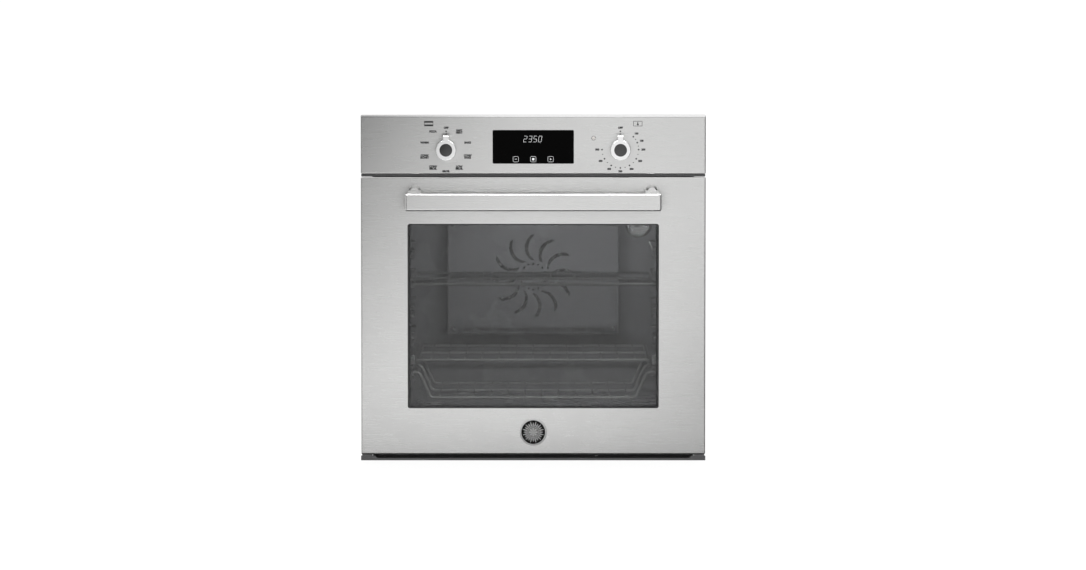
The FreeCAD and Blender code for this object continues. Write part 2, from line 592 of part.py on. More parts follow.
def rails():
    z0, z1 = RAIL_Z - RAIL_H / 2, RAIL_Z + RAIL_H / 2
    outer, slide = [], []
    for s in (-1, 1):
        def rail(a, b, y0, y1, p, q):
            return block(min(s * a, s * b), max(s * a, s * b), y0, y1, p, q)
        shell = rail(RAIL_X0 + 1, RAIL_X1, RAIL_Y0, RAIL_Y1, z0, z1)
        groove = rail(RAIL_X0, RAIL_X1 - 1.2, RAIL_Y0 - 1, RAIL_Y1 - 2, z0 + 1.2, z1 - 1.2)
        mouth = 1.2
        lips = [rail(RAIL_X0 + 1, RAIL_X0 + 1 + mouth, RAIL_Y0, RAIL_Y1, z0, z0 + 3),
                rail(RAIL_X0 + 1, RAIL_X0 + 1 + mouth, RAIL_Y0, RAIL_Y1, z1 - 3, z1)]
        wire_z = LEVEL_Z0 + PAIR_GAP
        clips = [rail(LADDER_X - 3.4, LADDER_X + 3.4, y, y + 8, wire_z - 1, z0 + 0.5) for y in (110, 300)]
        wire = rod_y(s * LADDER_X, RAIL_Y0, RAIL_Y1, wire_z, LADDER_R)
        outer.append(fuse([shell.cut(groove)] + lips + clips).cut(wire))
        core = rail(RAIL_X0 + 3, RAIL_X1 - 1.6, RAIL_Y0 - 4, RAIL_Y1 - 4, z0 + 1.7, z1 - 1.7)
        web = rail(RAIL_X0 - 1.2, RAIL_X0 + 3.5, RAIL_Y0 - 4, RAIL_Y1 - 4, z0 + 3.6, z1 - 3.6)
        ledge = rail(RAIL_X0 - 8, RAIL_X0 - 1, RAIL_Y0 - 4, RAIL_Y1 - 4, z0 + 3.6, z0 + 5.0)
        cap = rail(RAIL_X0 - 1.2, RAIL_X1, RAIL_Y0 - 9, RAIL_Y0 - 3.5, z0, z1)
        cap = fillet_where(cap, 1.2, along_y)
        slide.append(fuse([core, web, ledge, cap]))
    export("outer_rails", *outer)
    export("slide_rails", *slide)


def side_rods(half_x, z, y0, y1):
    return [round_rod_y(s * half_x, y0 - ROD_R, y1 + ROD_R, z, ROD_R) for s in (-1, 1)]


def cross_places(y0, y1):
    return y0 + ROD_R, (y0 + y1) / 2, y1 - ROD_R


def rack_wires(z, y0, y1, pitch, count, r):
    return [round_rod_y((k - (count - 1) / 2) * pitch, y0 - 2 * r, y1 + r, z, r) for k in range(count)]


def flat_rack(half_x, z, y0, y1, pitch, count, wire_r):
    """A flat welded rack in one solid: its wires are sunk a little into the cross rods."""
    rods = [rod_x(-half_x, half_x, y, z, CROSS_R) for y in cross_places(y0, y1)]
    wires = rack_wires(z + CROSS_R + wire_r / 2, y0, y1, pitch, count, wire_r)
    shapes = rods + side_rods(half_x, z, y0, y1) + wires
    return shapes[0].multiFuse(shapes[1:])


def deep_rack(profile, floor_z, y0, y1, pitch, count):
    """A rack whose cross rods dip to a floor. Its rods and wires are separate solids that touch."""
    half_x, side_z = profile[-1]
    sides = side_rods(half_x, side_z, y0, y1)
    rods = [cut(tube([V(x, y, z) for x, z in profile], CROSS_R, DROP_BEND), sides)
            for y in cross_places(y0, y1)]
    wires = rack_wires(floor_z + CROSS_R + WIRE_R, y0, y1, pitch, count, WIRE_R)
    return sides + rods + wires


def racks():
    half = RAIL_X0 - 1.2 - ROD_R
    z = RAIL_Z - RAIL_H / 2 + 5.0 + ROD_R
    export("wire_shelf", flat_rack(half, z, RACK_Y0, RACK_Y1, WIRE_PITCH, 13, WIRE_R))
    half = LADDER_X + 8.0
    z = LEVEL_Z0 + LADDER_R + ROD_R + FIT
    top, foot = LADDER_X - 10, LADDER_X - 30
    dip = [(-half, z), (-top, z), (-foot, DROP_Z), (foot, DROP_Z), (top, z), (half, z)]
    export("drop_rack", *deep_rack(dip, DROP_Z, RACK_Y0 + 6, RACK_Y1 - 20, WIRE_PITCH, 12))
    z = LEVEL_Z0 + 3 * LEVEL_PITCH + LADDER_R + ROD_R + FIT
    export("broil_rack", flat_rack(half, z, RACK_Y0 + 10, RACK_Y1 - 6, WIRE_PITCH / 2, 27, WIRE_R * 0.8))


# ---------------------------------------------------------------- cooling blower
def blower():
    y, z, r, wall = ROTOR_Y, ROTOR_Z, ROTOR_R, SHEET_T
    half, end = ROTOR_L / 2, ROTOR_L / 2 + 2
    inner = r + SCROLL_GAP
    shell = rod_x(-end - wall, end + wall, y, z, inner + wall).fuse(
        slab(end + wall, MOUTH_Y, y, DECK_TOP, DUCT_TOP))
    hollow = rod_x(-end, end, y, z, inner).fuse(
        slab(end, MOUTH_Y - 1, y, DECK_TOP + wall, DUCT_TOP - wall))
    intake = slab(half - 4, y - 14, y + 14, z + r - 4, z + r + 20)
    shaft_holes = [rod_x(s * end - 3, s * end + 3, y, z, SHAFT_R + RUNNING) for s in (-1, 1)]
    export("blower_housing", cut(shell.cut(hollow), [intake] + shaft_holes))
    discs = [rod_x(x, x + 1.2, y, z, r) for x in (-half + 1, -half / 3, half / 3, half - 2.2)]
    blades = []
    for k in range(20):
        blade = Part.makeBox(ROTOR_L - 2, 7.0, 0.9, V(-half + 1, r - 7.3, -0.45))
        blade.rotate(V(0, r - 4, 0), V(1, 0, 0), 35)
        blade.rotate(V(0, 0, 0), V(1, 0, 0), k * 18)
        blade.translate(V(0, y, z))
        blades.append(blade)
    shaft = rod_x(-half - 6, half + 14, y, z, SHAFT_R)
    export("cooling_rotor", fuse(discs + blades + [shaft]))
    x0 = end + wall
    stator = block(x0 + 3, x0 + 27, y - 26, y + 26, z - 26, z + 22)
    pole = rod_x(x0 + 1, x0 + 31, y, z, 16)
    bore = rod_x(x0 - 2, x0 + 20, y, z, SHAFT_R + RUNNING)
    feet = block(x0 + 3, x0 + 27, y - 34, y + 34, DECK_TOP, z - 26)
    export("blower_motor", cut(fuse([stator, pole, feet]), [bore]))


# ---------------------------------------------------------------- control panel
def control_fascia():
    tray = pan(HALF_W, FACE_Y, -2.0, FASCIA_Z0, FRONT_H, SKIN_T, EDGE_R)
    y0, y1 = FACE_Y - 2, FACE_Y + 4
    window = rounded_slab(-DISPLAY_W / 2, DISPLAY_W / 2, y0, y1, DISPLAY_Z0, DISPLAY_Z0 + DISPLAY_H, 2)
    shafts = [rod_y(s * KNOB_X, y0, y1, KNOB_Z, SHAFT_R + 2) for s in (-1, 1)]
    pilot = rod_y(PILOT_X, y0, y1, PILOT_Z, PILOT_R)
    export("control_fascia", cut(tray, [window, pilot] + shafts))


def control_bracket():
    shelf_z = FRAME_Z1
    half = HALF_BODY - 8
    plate = slab(half, BRACKET_Y, BRACKET_Y + SHEET_T, shelf_z, BODY_H)
    shelf = slab(half, BRACKET_Y, 40, shelf_z, shelf_z + SHEET_T)
    posts = [rod_y(s * (half - 30), FACE_Y + SKIN_T, BRACKET_Y, z, 4) for s in (-1, 1)
             for z in (FASCIA_Z0 + 20, BODY_H - 16)]
    window = slab(DISPLAY_W / 2 + 6, -10, 5, DISPLAY_Z0 - 2, BODY_H - 10)
    shafts = [rod_y(s * KNOB_X, -10, 5, KNOB_Z, 6) for s in (-1, 1)]
    pilot = rod_y(PILOT_X, -10, 5, PILOT_Z, PILOT_R + 1)
    export("control_bracket", cut(fuse([plate, shelf] + posts), [window, pilot] + shafts))


def display():
    pad = 0.2
    half, z0, z1 = DISPLAY_W / 2, DISPLAY_Z0, DISPLAY_Z0 + DISPLAY_H
    face = rounded_slab(-half + pad, half - pad, FACE_Y + 0.1, FACE_Y + 3, z0 + pad, z1 - pad, 1.8)
    rim = slab(half + 6, FACE_Y + SKIN_T, FACE_Y + 3, z0 - 4, z1 + 4)
    export("display_glass", fuse([face, rim]))
    board = slab(half + 2, FACE_Y + 8, FACE_Y + 9.6, z0 - 4, z1 + 4)
    tube_block = rounded_slab(-34, 34, FACE_Y + 3, FACE_Y + 8, z0 + 32, z1 - 6, 1.5)
    touch = [rod_y(x, FACE_Y + 3, FACE_Y + 8, z0 + 7.7, 4) for x in (-30, 0, 30)]
    chips = [block(-50, -34, FACE_Y + 9.6, FACE_Y + 12, z0 + 20, z0 + 36),
             block(20, 44, FACE_Y + 9.6, FACE_Y + 14, z0 + 14, z0 + 30)]
    plug = block(-10, 10, FACE_Y + 9.6, FACE_Y + 16, z0 + 40, z0 + 48)
    export("display_board", fuse([board, tube_block, plug] + touch + chips))


def switches():
    y0 = BRACKET_Y + SHEET_T
    for name, s, size in (("function_switch", -1, 19.0), ("thermostat", 1, 17.0)):
        x = s * KNOB_X
        body = rounded_slab(x - size, x + size, y0, y0 + 34, KNOB_Z - size, KNOB_Z + size, 3)
        tabs = [block(x + dx, x + dx + 0.8, y0 + 34, y0 + 42, KNOB_Z + dz, KNOB_Z + dz + 6)
                for dx in (-12, -4, 4, 12) for dz in (-14, 6)]
        neck = rod_y(x, y0 - 4, y0, KNOB_Z, 5)
        bore = rod_y(x, y0 - 6, y0 + 16, KNOB_Z, SHAFT_R + RUNNING)
        export(name, cut(fuse([body, neck] + tabs), [bore]))


def knob(name, s):
    """A die-cast knob with a tapering flag pointer, a dark end cap and its own switch shaft."""
    x, y_back, y_front = s * KNOB_X, FACE_Y - KNOB_GAP, FACE_Y - KNOB_GAP - KNOB_H

    def outline(y, r, half, tip):
        join = math.sqrt(r * r - half * half)
        a, b = V(x - half, y, KNOB_Z + join), V(x + half, y, KNOB_Z + join)
        c, d = V(x + half, y, KNOB_Z + tip), V(x - half, y, KNOB_Z + tip)
        arc = Part.Arc(b, V(x, y, KNOB_Z - r), a).toShape()
        lines = [Part.LineSegment(p, q).toShape() for p, q in ((a, d), (d, c), (c, b))]
        return Part.Wire(Part.__sortEdges__([arc] + lines))

    back = outline(y_back, KNOB_R + 0.5, POINTER_W / 2, POINTER_TIP)
    front = outline(y_front, KNOB_R - 0.3, POINTER_W / 2 - 1.0, POINTER_TIP - 4.0)
    body = Part.makeLoft([back, front], True, True)
    body = fillet_where(body, 0.067 * KNOB_R, lambda b: b.YLength > KNOB_H - 1 and b.ZMin > KNOB_Z + KNOB_R)
    body = fillet_where(body, 0.056 * KNOB_R, lambda b: b.YMax < y_front + 1e-4)
    recess = rod_y(x, y_front - 1, y_front + 1.5, KNOB_Z, CAP_R + 0.2)
    bore = rod_y(x, y_front + 8, y_back + 1, KNOB_Z, SHAFT_R)
    skirt = rod_y(x, y_back - 6, y_back + 1, KNOB_Z, KNOB_R - 3)
    skirt = skirt.cut(rod_y(x, y_back - 8, y_back + 2, KNOB_Z, 6))
    export(f"{name}_knob", cut(body, [recess, bore, skirt]))
    dome = Part.makeSphere(120, V(x, y_front + 120.05, KNOB_Z))
    export(f"{name}_knob_cap", dome.common(rod_y(x, y_front, y_front + 1.5, KNOB_Z, CAP_R)))
    end_y = BRACKET_Y + SHEET_T + 15
    shaft = rod_y(x, y_front + 8.2, end_y, KNOB_Z, SHAFT_R)
    flat = block(x - 4, x + 4, y_front + 7, y_back - 1, KNOB_Z + SHAFT_R - 1.0, KNOB_Z + 5)
    export(f"{name}_shaft", shaft.cut(flat))


def pilot_lens():
    lens = rod_y(PILOT_X, FACE_Y, FACE_Y + 8, PILOT_Z, PILOT_R - 0.05)
    dome = Part.makeSphere(5.2, V(PILOT_X, FACE_Y + 4.3, PILOT_Z)).common(
        rod_y(PILOT_X, FACE_Y - 3, FACE_Y + 1, PILOT_Z, PILOT_R - 0.05))
    collar = rod_y(PILOT_X, FACE_Y + SKIN_T, FACE_Y + 3, PILOT_Z, PILOT_R + 1.5)
    export("pilot_lens", fuse([lens, dome, collar]))


def electrics():
    board_z = DECK_TOP + 12
    board = block(-220, -110, 250, 380, board_z, board_z + 1.6)
    relays = [block(-210 + 26 * k, -192 + 26 * k, 262, 284, board_z + 1.6, board_z + 18) for k in range(4)]
    transformer = block(-180, -140, 320, 360, board_z + 1.6, board_z + 32)
    feet = [rod_z(x, y, DECK_TOP, board_z + 0.5, 3) for x in (-214, -116) for y in (256, 374)]
    export("relay_board", fuse([board, transformer] + relays + feet))
    x, z = GLAND_X, GLAND_Z
    base = rounded_slab(x - 30, x + 30, BODY_D - 60, BODY_D - 44, DECK_TOP, DECK_TOP + 36, 3)
    wells = [rod_y(x - 20 + 10 * k, BODY_D - 50, BODY_D - 40, DECK_TOP + rise, 3.2)
             for k in range(5) for rise in (10, 26)]
    export("terminal_block", cut(base, wells))
    collar = rod_y(x, BODY_D, BODY_D + GLAND_PROUD, z, GLAND_R + 3)
    collar = fillet_where(collar, 1.0, lambda b: b.YMin > BODY_D + GLAND_PROUD - 1e-6)
    neck = rod_y(x, BODY_D - 14, BODY_D, z, GLAND_R)
    bore = rod_y(x, BODY_D - 20, BODY_D + 10, z, GLAND_BORE)
    export("cable_gland", collar.fuse(neck).cut(bore))


# ---------------------------------------------------------------- door
SKIN_D = 20.0
BOTTOM_LIP = 6.0
DOOR_FRAME_Z0 = 32.0
DOOR_FRAME_Z1 = DOOR_Z1 - 8.0
PANE_Y = FACE_Y + SKIN_T
INNER_PANE_Y = DOOR_BACK_Y - GLASS_T


def door_skin():
    tray = pan(HALF_W, FACE_Y, FACE_Y + SKIN_D, DOOR_Z0, DOOR_Z1, SKIN_T, EDGE_R)
    window = rounded_slab(-WINDOW_W / 2, WINDOW_W / 2, FACE_Y - 2, FACE_Y + 4, WINDOW_Z0, WINDOW_Z1, WINDOW_R)
    relief = slab(HALF_W + 1, FACE_Y + BOTTOM_LIP, 5, DOOR_Z0 - 1, DOOR_Z0 + 14)
    screws = [rod_y(s * POST_X, FACE_Y - 2, FACE_Y + 4, POST_Z, 2.2) for s in (-1, 1)]
    export("door_skin", cut(tray, [window, relief] + screws))


def door_glass():
    lap = 14.0
    x = WINDOW_W / 2 + lap
    pane = rounded_slab(-x, x, PANE_Y, PANE_Y + GLASS_T, WINDOW_Z0 - lap, WINDOW_Z1 + lap, 6)
    export("outer_glass", pane)
    x = FRAME_X - 6
    pane = rounded_slab(-x, x, INNER_PANE_Y, DOOR_BACK_Y, DOOR_FRAME_Z0 + 8, DOOR_FRAME_Z1 - 6, 6)
    export("inner_glass", pane)
    y = (PANE_Y + GLASS_T + INNER_PANE_Y) / 2 - GLASS_T / 2
    export("middle_glass", rounded_slab(-OPEN_X, OPEN_X, y, y + GLASS_T, OPEN_Z0, OPEN_Z1, 4))


OPEN_X = WINDOW_W / 2 - 4.75
OPEN_Z0 = WINDOW_Z0 + 4.0
OPEN_Z1 = WINDOW_Z1
CHANNEL_HALF = 11.0
CHANNEL_Z1 = 160.0
CHANNEL_Y0 = -21.5
CHANNEL_Y1 = -5.0
SPRING_R = 5.8
SPRING_WIRE = 1.1
SPRING_Y = -12.6
SPRING_Z0 = 60.0


def door_frame():
    y0, y1 = PANE_Y + GLASS_T, INNER_PANE_Y
    t = SHEET_T
    z0, z1, x = DOOR_FRAME_Z0, DOOR_FRAME_Z1, FRAME_X
    oz0, oz1 = OPEN_Z0, OPEN_Z1
    ring = slab(x, y0, y1, z0, z1).cut(slab(OPEN_X, y0 - 1, y1 + 1, oz0, oz1))
    channel = slab(x - t, y0 - 1, y1 - t, z0 + t, z1 - t).cut(
        slab(OPEN_X + t, y0 - 2, y1 + 1, oz0 - t, oz1 + t))
    hinge = [block(s * HINGE_X - CHANNEL_HALF - 1, s * HINGE_X + CHANNEL_HALF + 1, y0 - 1, y1 + 1,
                   z0 - 1, z0 + 3) for s in (-1, 1)]
    tabs = []
    for s in (-1, 1):
        tab0, tab1 = sorted((s * x, s * (HALF_W - SKIN_T)))
        tabs += [block(tab0, tab1, FACE_Y + 14, FACE_Y + 15, z, z + 30) for z in (90, 240, 390)]
    export("door_frame", cut(fuse([ring.cut(channel)] + tabs), hinge))
    cap = slab(x - 4, y0, DOOR_BACK_Y, z1, z1 + 5)
    slots = [block(k, k + 18, y0 + 6, y0 + 14, z1 - 1, z1 + 6) for k in range(-240, 230, 28)]
    export("door_top_cap", cut(cap, slots))


def handle():
    bar = slab(BAR_LENGTH / 2, BAR_Y0, BAR_Y1, BAR_Z0, BAR_Z1)
    bar = bar.makeFillet(3.4, bar.Edges)
    export("handle_bar", bar)
    brackets = []
    for s in (-1, 1):
        x = s * POST_X
        top = POST_Z + POST_R - 5.0
        saddle = block(x - 12, x + 12, BAR_Y1, BAR_Y1 + 14, BAR_Z0 + 4, top)
        saddle = fillet_where(saddle, 3.0, lambda b: b.YMin > BAR_Y1 + 14 - 1e-6 or along_y(b))
        post = rod_y(x, BAR_Y1 + 4, FACE_Y, POST_Z, POST_R)
        foot = Part.makeCone(POST_R, POST_R + 3, 7, V(x, FACE_Y - 7, POST_Z), V(0, 1, 0))
        screw = rod_y(x, FACE_Y, FACE_Y + 5, POST_Z, 2.0)
        head = rod_y(x, FACE_Y + SKIN_T, FACE_Y + 4, POST_Z, 4.5)
        brackets.append(fuse([saddle, post, foot, screw, head]))
    export("handle_brackets", *brackets)


def badge():
    """Round medallion with a plain sunburst relief."""
    y, z, r = FACE_Y, (DOOR_Z0 + WINDOW_Z0) / 2 - 1.2, 23.0
    disc = fillet_where(rod_y(0, y - 3, y, z, r), 1.2, lambda b: b.YMax < y - 3 + 1e-6)
    disc = disc.cut(rod_y(0, y - 4, y - 2, z, r - 2.4))
    rays = []
    for k in range(24):
        length = 7.4 if k % 2 else 5.4
        ray = Part.Face(Part.makePolygon([V(11, 0, -0.95), V(11 + length, 0, -0.35), V(11 + length, 0, 0.35),
                                          V(11, 0, 0.95), V(11, 0, -0.95)])).extrude(V(0, 1.0, 0))
        ray.rotate(V(0, 0, 0), V(0, 1, 0), k * 15)
        ray.translate(V(0, y - 2.7, z))
        rays.append(ray)
    hub = rod_y(0, y - 2.8, y - 1.5, z, 7.5)
    rim = rod_y(0, y - 2.7, y - 1.5, z, 9.8).cut(rod_y(0, y - 5, y, z, 8.8))
    stem = rod_y(0, y - 1, y, z, 4)
    export("badge", fuse([disc, hub, rim, stem] + rays))


# ---------------------------------------------------------------- door hinges
def hinges():
    claws, channels, receivers, springs = [], [], [], []
    for s in (-1, 1):
        x = s * HINGE_X
        half = CLAW_T / 2
        y, z = HINGE_Y, HINGE_Z
        arm = block(x - half, x + half, y, 54, z - 5.5, z + 5.5)
        eye = rod_x(x - half, x + half, y, z, PIN_R + 1.5)
        hook = block(x - half, x + half, 44, 54, z - 10, z - 5)
        hole = rod_x(x - half - 1, x + half + 1, y, z, PIN_R + RUNNING)
        claws.append(cut(fuse([arm, eye, hook]), [hole]))
        cheeks = []
        for c in (-1, 1):
            c0, c1 = sorted((x + c * CHANNEL_HALF, x + c * (CHANNEL_HALF - 1.5)))
            cheeks.append(block(c0, c1, CHANNEL_Y0, CHANNEL_Y1, HINGE_Z - 6, CHANNEL_Z1))
        web = block(x - CHANNEL_HALF, x + CHANNEL_HALF, CHANNEL_Y0, CHANNEL_Y0 + 1.5, HINGE_Z - 6, CHANNEL_Z1)
        cap = block(x - CHANNEL_HALF, x + CHANNEL_HALF, CHANNEL_Y0, CHANNEL_Y1, CHANNEL_Z1 - 1.5, CHANNEL_Z1)
        pin = rod_x(x - CHANNEL_HALF - 1.5, x + CHANNEL_HALF + 1.5, y, z, PIN_R)
        guide = rod_z(x, SPRING_Y, SPRING_Z0 - 6, CHANNEL_Z1 - 1, 3.2)
        seat = rod_z(x, SPRING_Y, SPRING_Z0 - 3, SPRING_Z0, SPRING_R + SPRING_WIRE)
        channels.append(fuse(cheeks + [web, cap, pin, guide, seat]))
        outer = block(x - 9, x + 9, MOUTH_Y, 64, 8, 40)
        inner = block(x - 7.5, x + 7.5, MOUTH_Y - 2, 62.5, 9.5, 38.5)
        rest = block(x - 8, x + 8, 36, 43.5, 9, z - 5.5)
        receivers.append(outer.cut(inner).fuse(rest))
        length = CHANNEL_Z1 - 1.5 - SPRING_Z0 - 2 * SPRING_WIRE
        helix = Part.makeHelix(length / 11, length, SPRING_R)
        section = Part.Wire(Part.makeCircle(SPRING_WIRE, V(SPRING_R, 0, 0), V(0, 1, 0)))
        coil = Part.Wire(helix).makePipeShell([section], True, True)
        coil.translate(V(x, SPRING_Y, SPRING_Z0 + SPRING_WIRE))
        springs.append(coil)
    export("hinge_claws", *claws)
    export("hinge_channels", *channels)
    export("hinge_receivers", *receivers)
    export("hinge_springs", *springs)


# ---------------------------------------------------------------- build
base_pan()
side_panels()
top_cover()
service_deck()
rear_cover()
casing_screws()
front_frame()
vent_trim()
door_gasket()
cavity_liner()
insulation_blanket()
fan_baffle()
convection_fan()
convection_motor()
ring_element()
broil_element()
bake_element()
lamp()
temperature_probe()
side_racks()
rails()
racks()
blower()
control_fascia()
control_bracket()
display()
switches()
knob("function", -1)
knob("temperature", 1)
pilot_lens()
electrics()
door_skin()
door_glass()
door_frame()
handle()
badge()
hinges()
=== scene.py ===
"""Looks of a built-in wall oven: finishes for every part, printed dials, the clock and the studio."""

import json
import math

import bmesh
import bpy
from mathutils import Matrix, Vector


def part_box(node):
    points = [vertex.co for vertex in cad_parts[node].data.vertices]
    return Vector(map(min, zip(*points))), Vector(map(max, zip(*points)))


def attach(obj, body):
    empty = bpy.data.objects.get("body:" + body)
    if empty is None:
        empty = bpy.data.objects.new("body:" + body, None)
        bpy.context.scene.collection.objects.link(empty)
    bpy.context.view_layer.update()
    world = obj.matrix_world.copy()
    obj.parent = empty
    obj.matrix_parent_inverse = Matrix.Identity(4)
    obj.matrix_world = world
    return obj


bl_info = {
    "name": "Wall oven looks",
    "version": (1, 0, 0),
    "blender": (4, 5, 0),
    "location": "View3D > Sidebar > Oven",
    "description": "Finishes, printed legends, clock and studio for a built-in wall oven",
    "category": "Object",
}

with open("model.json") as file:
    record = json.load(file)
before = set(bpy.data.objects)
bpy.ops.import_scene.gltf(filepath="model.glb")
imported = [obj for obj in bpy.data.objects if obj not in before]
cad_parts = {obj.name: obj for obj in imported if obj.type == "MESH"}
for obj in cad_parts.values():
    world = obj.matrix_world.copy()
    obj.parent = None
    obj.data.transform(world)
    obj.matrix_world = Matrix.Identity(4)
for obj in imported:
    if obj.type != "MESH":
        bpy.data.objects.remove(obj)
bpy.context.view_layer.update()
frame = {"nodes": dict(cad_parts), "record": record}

MM = 0.001
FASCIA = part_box("control_fascia")
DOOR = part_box("door_skin")
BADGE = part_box("badge")
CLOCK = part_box("display_glass")
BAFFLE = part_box("fan_baffle")
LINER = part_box("cavity_liner")
FACE_Y = FASCIA[0].y


def centre(node):
    low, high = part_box(node)
    return (low + high) / 2


# ------------------------------------------------------------------ sizes and colours a user would change
class OvenFinishSettings(bpy.types.PropertyGroup):
    """Colours and gloss of the oven's finishes."""

    steel_color: bpy.props.FloatVectorProperty(
        name="Steel colour", description="Colour of the brushed stainless front", subtype="COLOR",
        size=3, min=0, max=1, default=(0.61, 0.61, 0.605))
    steel_roughness: bpy.props.FloatProperty(
        name="Steel roughness", description="How blurred the front's reflections are", subtype="FACTOR",
        min=0, max=1, default=0.28)
    grain_length: bpy.props.FloatProperty(
        name="Grain length", description="Length of a brush stroke on the front", unit="LENGTH",
        default=0.06, min=0.001)
    enamel_color: bpy.props.FloatVectorProperty(
        name="Enamel colour", description="Colour of the cavity's enamel", subtype="COLOR",
        size=3, min=0, max=1, default=(0.060, 0.060, 0.064))
    casing_color: bpy.props.FloatVectorProperty(
        name="Casing colour", description="Colour of the galvanised casing", subtype="COLOR",
        size=3, min=0, max=1, default=(0.40, 0.41, 0.42))
    glass_tint: bpy.props.FloatVectorProperty(
        name="Window tint", description="Tint of the door's outer pane", subtype="COLOR",
        size=3, min=0, max=1, default=(0.52, 0.52, 0.52))


class OvenLegendSettings(bpy.types.PropertyGroup):
    """Sizes of the printing on the control panel."""

    text_size: bpy.props.FloatProperty(
        name="Text size", description="Font size of the dial legends", unit="LENGTH", default=0.0046)
    label_radius: bpy.props.FloatProperty(
        name="Label radius", description="Distance of the legends from the knob's axis", unit="LENGTH",
        default=0.0375)
    dot_radius: bpy.props.FloatProperty(
        name="Dot circle", description="Distance of the scale's dots from the knob's axis", unit="LENGTH",
        default=0.0315)
    dot_size: bpy.props.FloatProperty(
        name="Dot size", description="Radius of a main dot", unit="LENGTH", default=0.0014)
    ink_thickness: bpy.props.FloatProperty(
        name="Ink thickness", description="How far the print stands on the steel", unit="LENGTH",
        default=0.00006)
    ink_color: bpy.props.FloatVectorProperty(
        name="Ink colour", description="Colour of the printing", subtype="COLOR", size=3, min=0, max=1,
        default=(0.012, 0.012, 0.013))


class OvenClockSettings(bpy.types.PropertyGroup):
    """The lit clock and its touch keys."""

    clock_time: bpy.props.StringProperty(
        name="Time", description="Four digits that the clock shows", default="2350")
    digit_height: bpy.props.FloatProperty(
        name="Digit height", description="Height of a lit digit", unit="LENGTH", default=0.01008)
    digit_pitch: bpy.props.FloatProperty(
        name="Digit pitch", description="Distance from one digit to the next", unit="LENGTH", default=0.0085)
    slant: bpy.props.FloatProperty(
        name="Slant", description="Lean of the digits to the right", unit="ROTATION",
        default=math.radians(9))
    key_size: bpy.props.FloatProperty(
        name="Key size", description="Width of a touch key's outline", unit="LENGTH", default=0.0098)
    lit_color: bpy.props.FloatVectorProperty(
        name="Lit colour", description="Colour of the lit segments", subtype="COLOR", size=3, min=0, max=1,
        default=(0.50, 0.51, 0.515))


class OvenStageSettings(bpy.types.PropertyGroup):
    """Floor, plinth, lights, cards and camera."""

    floor_color: bpy.props.FloatVectorProperty(
        name="Floor colour", description="Colour of the floor and the plinth", subtype="COLOR", size=3,
        min=0, max=1, default=(0.90, 0.90, 0.90))
    plinth_height: bpy.props.FloatProperty(
        name="Plinth height", description="Height of the plinth under the oven, so the open door's handle "
        "has room", unit="LENGTH", default=0.085)
    camera_distance: bpy.props.FloatProperty(
        name="Camera distance", description="From the front's middle to the camera", unit="LENGTH",
        default=9.0)
    camera_pitch: bpy.props.FloatProperty(
        name="Camera pitch", description="How far the camera looks down", unit="ROTATION",
        default=math.radians(3.7))
    frame_width: bpy.props.FloatProperty(
        name="Frame width", description="Width of the picture at the oven's front", unit="LENGTH",
        default=1.873)
    horizon_strength: bpy.props.FloatProperty(
        name="Horizon strength", description="Brightness of the white surroundings near the floor",
        default=0.82, min=0)
    zenith_strength: bpy.props.FloatProperty(
        name="Overhead strength", description="Brightness of the white surroundings overhead",
        default=1.46, min=0)
    backdrop_strength: bpy.props.FloatProperty(
        name="Backdrop strength", description="Brightness of the white surroundings in the picture",
        default=1.05, min=0)
    key_power: bpy.props.FloatProperty(
        name="Key power", description="Power of the large soft light in front", unit="POWER", default=30.0)
    top_power: bpy.props.FloatProperty(
        name="Top power", description="Power of the strip light over the handle", unit="POWER", default=18.0)
    cavity_power: bpy.props.FloatProperty(
        name="Cavity power", description="Power of the light inside the cavity, near its mouth", unit="POWER",
        default=4.6)
    left_card: bpy.props.FloatProperty(
        name="Left card", description="How much the graded dark card takes from reflections at the upper left",
        subtype="FACTOR", min=0, max=1, default=0.98)
    right_card: bpy.props.FloatProperty(
        name="Right card", description="How much the graded dark card takes from reflections at the lower "
        "right", subtype="FACTOR", min=0, max=1, default=0.75)


# ------------------------------------------------------------------ shader helpers
def colour(values):
    return (*values, 1.0)


def give(tree, socket, value):
    """Joins another socket to this one, or sets a plain value on it."""
    if isinstance(value, bpy.types.NodeSocket):
        tree.links.new(value, socket)
    else:
        socket.default_value = value


def new_node(tree, kind, **settings):
    """A node with its properties and inputs set by name, as operation='ADD' or From_Min=0.3."""
    node = tree.nodes.new(kind)
    for name, value in settings.items():
        if hasattr(node, name):
            setattr(node, name, value)
        else:
            give(tree, node.inputs[name.replace("_", " ")], value)
    return node


def object_place(tree):
    return tree.nodes.new("ShaderNodeTexCoord").outputs["Object"]


def noise(tree, **settings):
    """The value of a noise texture, in object coordinates unless a Vector is given."""
    if "Vector" not in settings:
        settings["Vector"] = object_place(tree)
    return new_node(tree, "ShaderNodeTexNoise", **settings).outputs["Fac"]


def ranged(tree, value, low, high, to_low, to_high):
    """A value mapped from low and high to to_low and to_high, and held there outside."""
    return new_node(tree, "ShaderNodeMapRange", Value=value, From_Min=low, From_Max=high, To_Min=to_low,
                    To_Max=to_high).outputs[0]


def bumped(tree, height, strength, distance):
    return new_node(tree, "ShaderNodeBump", Height=height, Strength=strength, Distance=distance).outputs[0]


def operated(tree, kind, operation, values, **settings):
    """A math node of either kind, whose values are sockets or plain numbers."""
    node = new_node(tree, kind, operation=operation, **settings)
    for socket, value in zip(node.inputs, values):
        give(tree, socket, value)
    return node


def math_node(tree, operation, *values):
    return operated(tree, "ShaderNodeMath", operation, values).outputs[0]


def vector_math(tree, operation, *values, **settings):
    """A vector, or for a length or a dot product a number."""
    node = operated(tree, "ShaderNodeVectorMath", operation, values, **settings)
    return node.outputs["Value" if operation in ("LENGTH", "DOT_PRODUCT") else "Vector"]


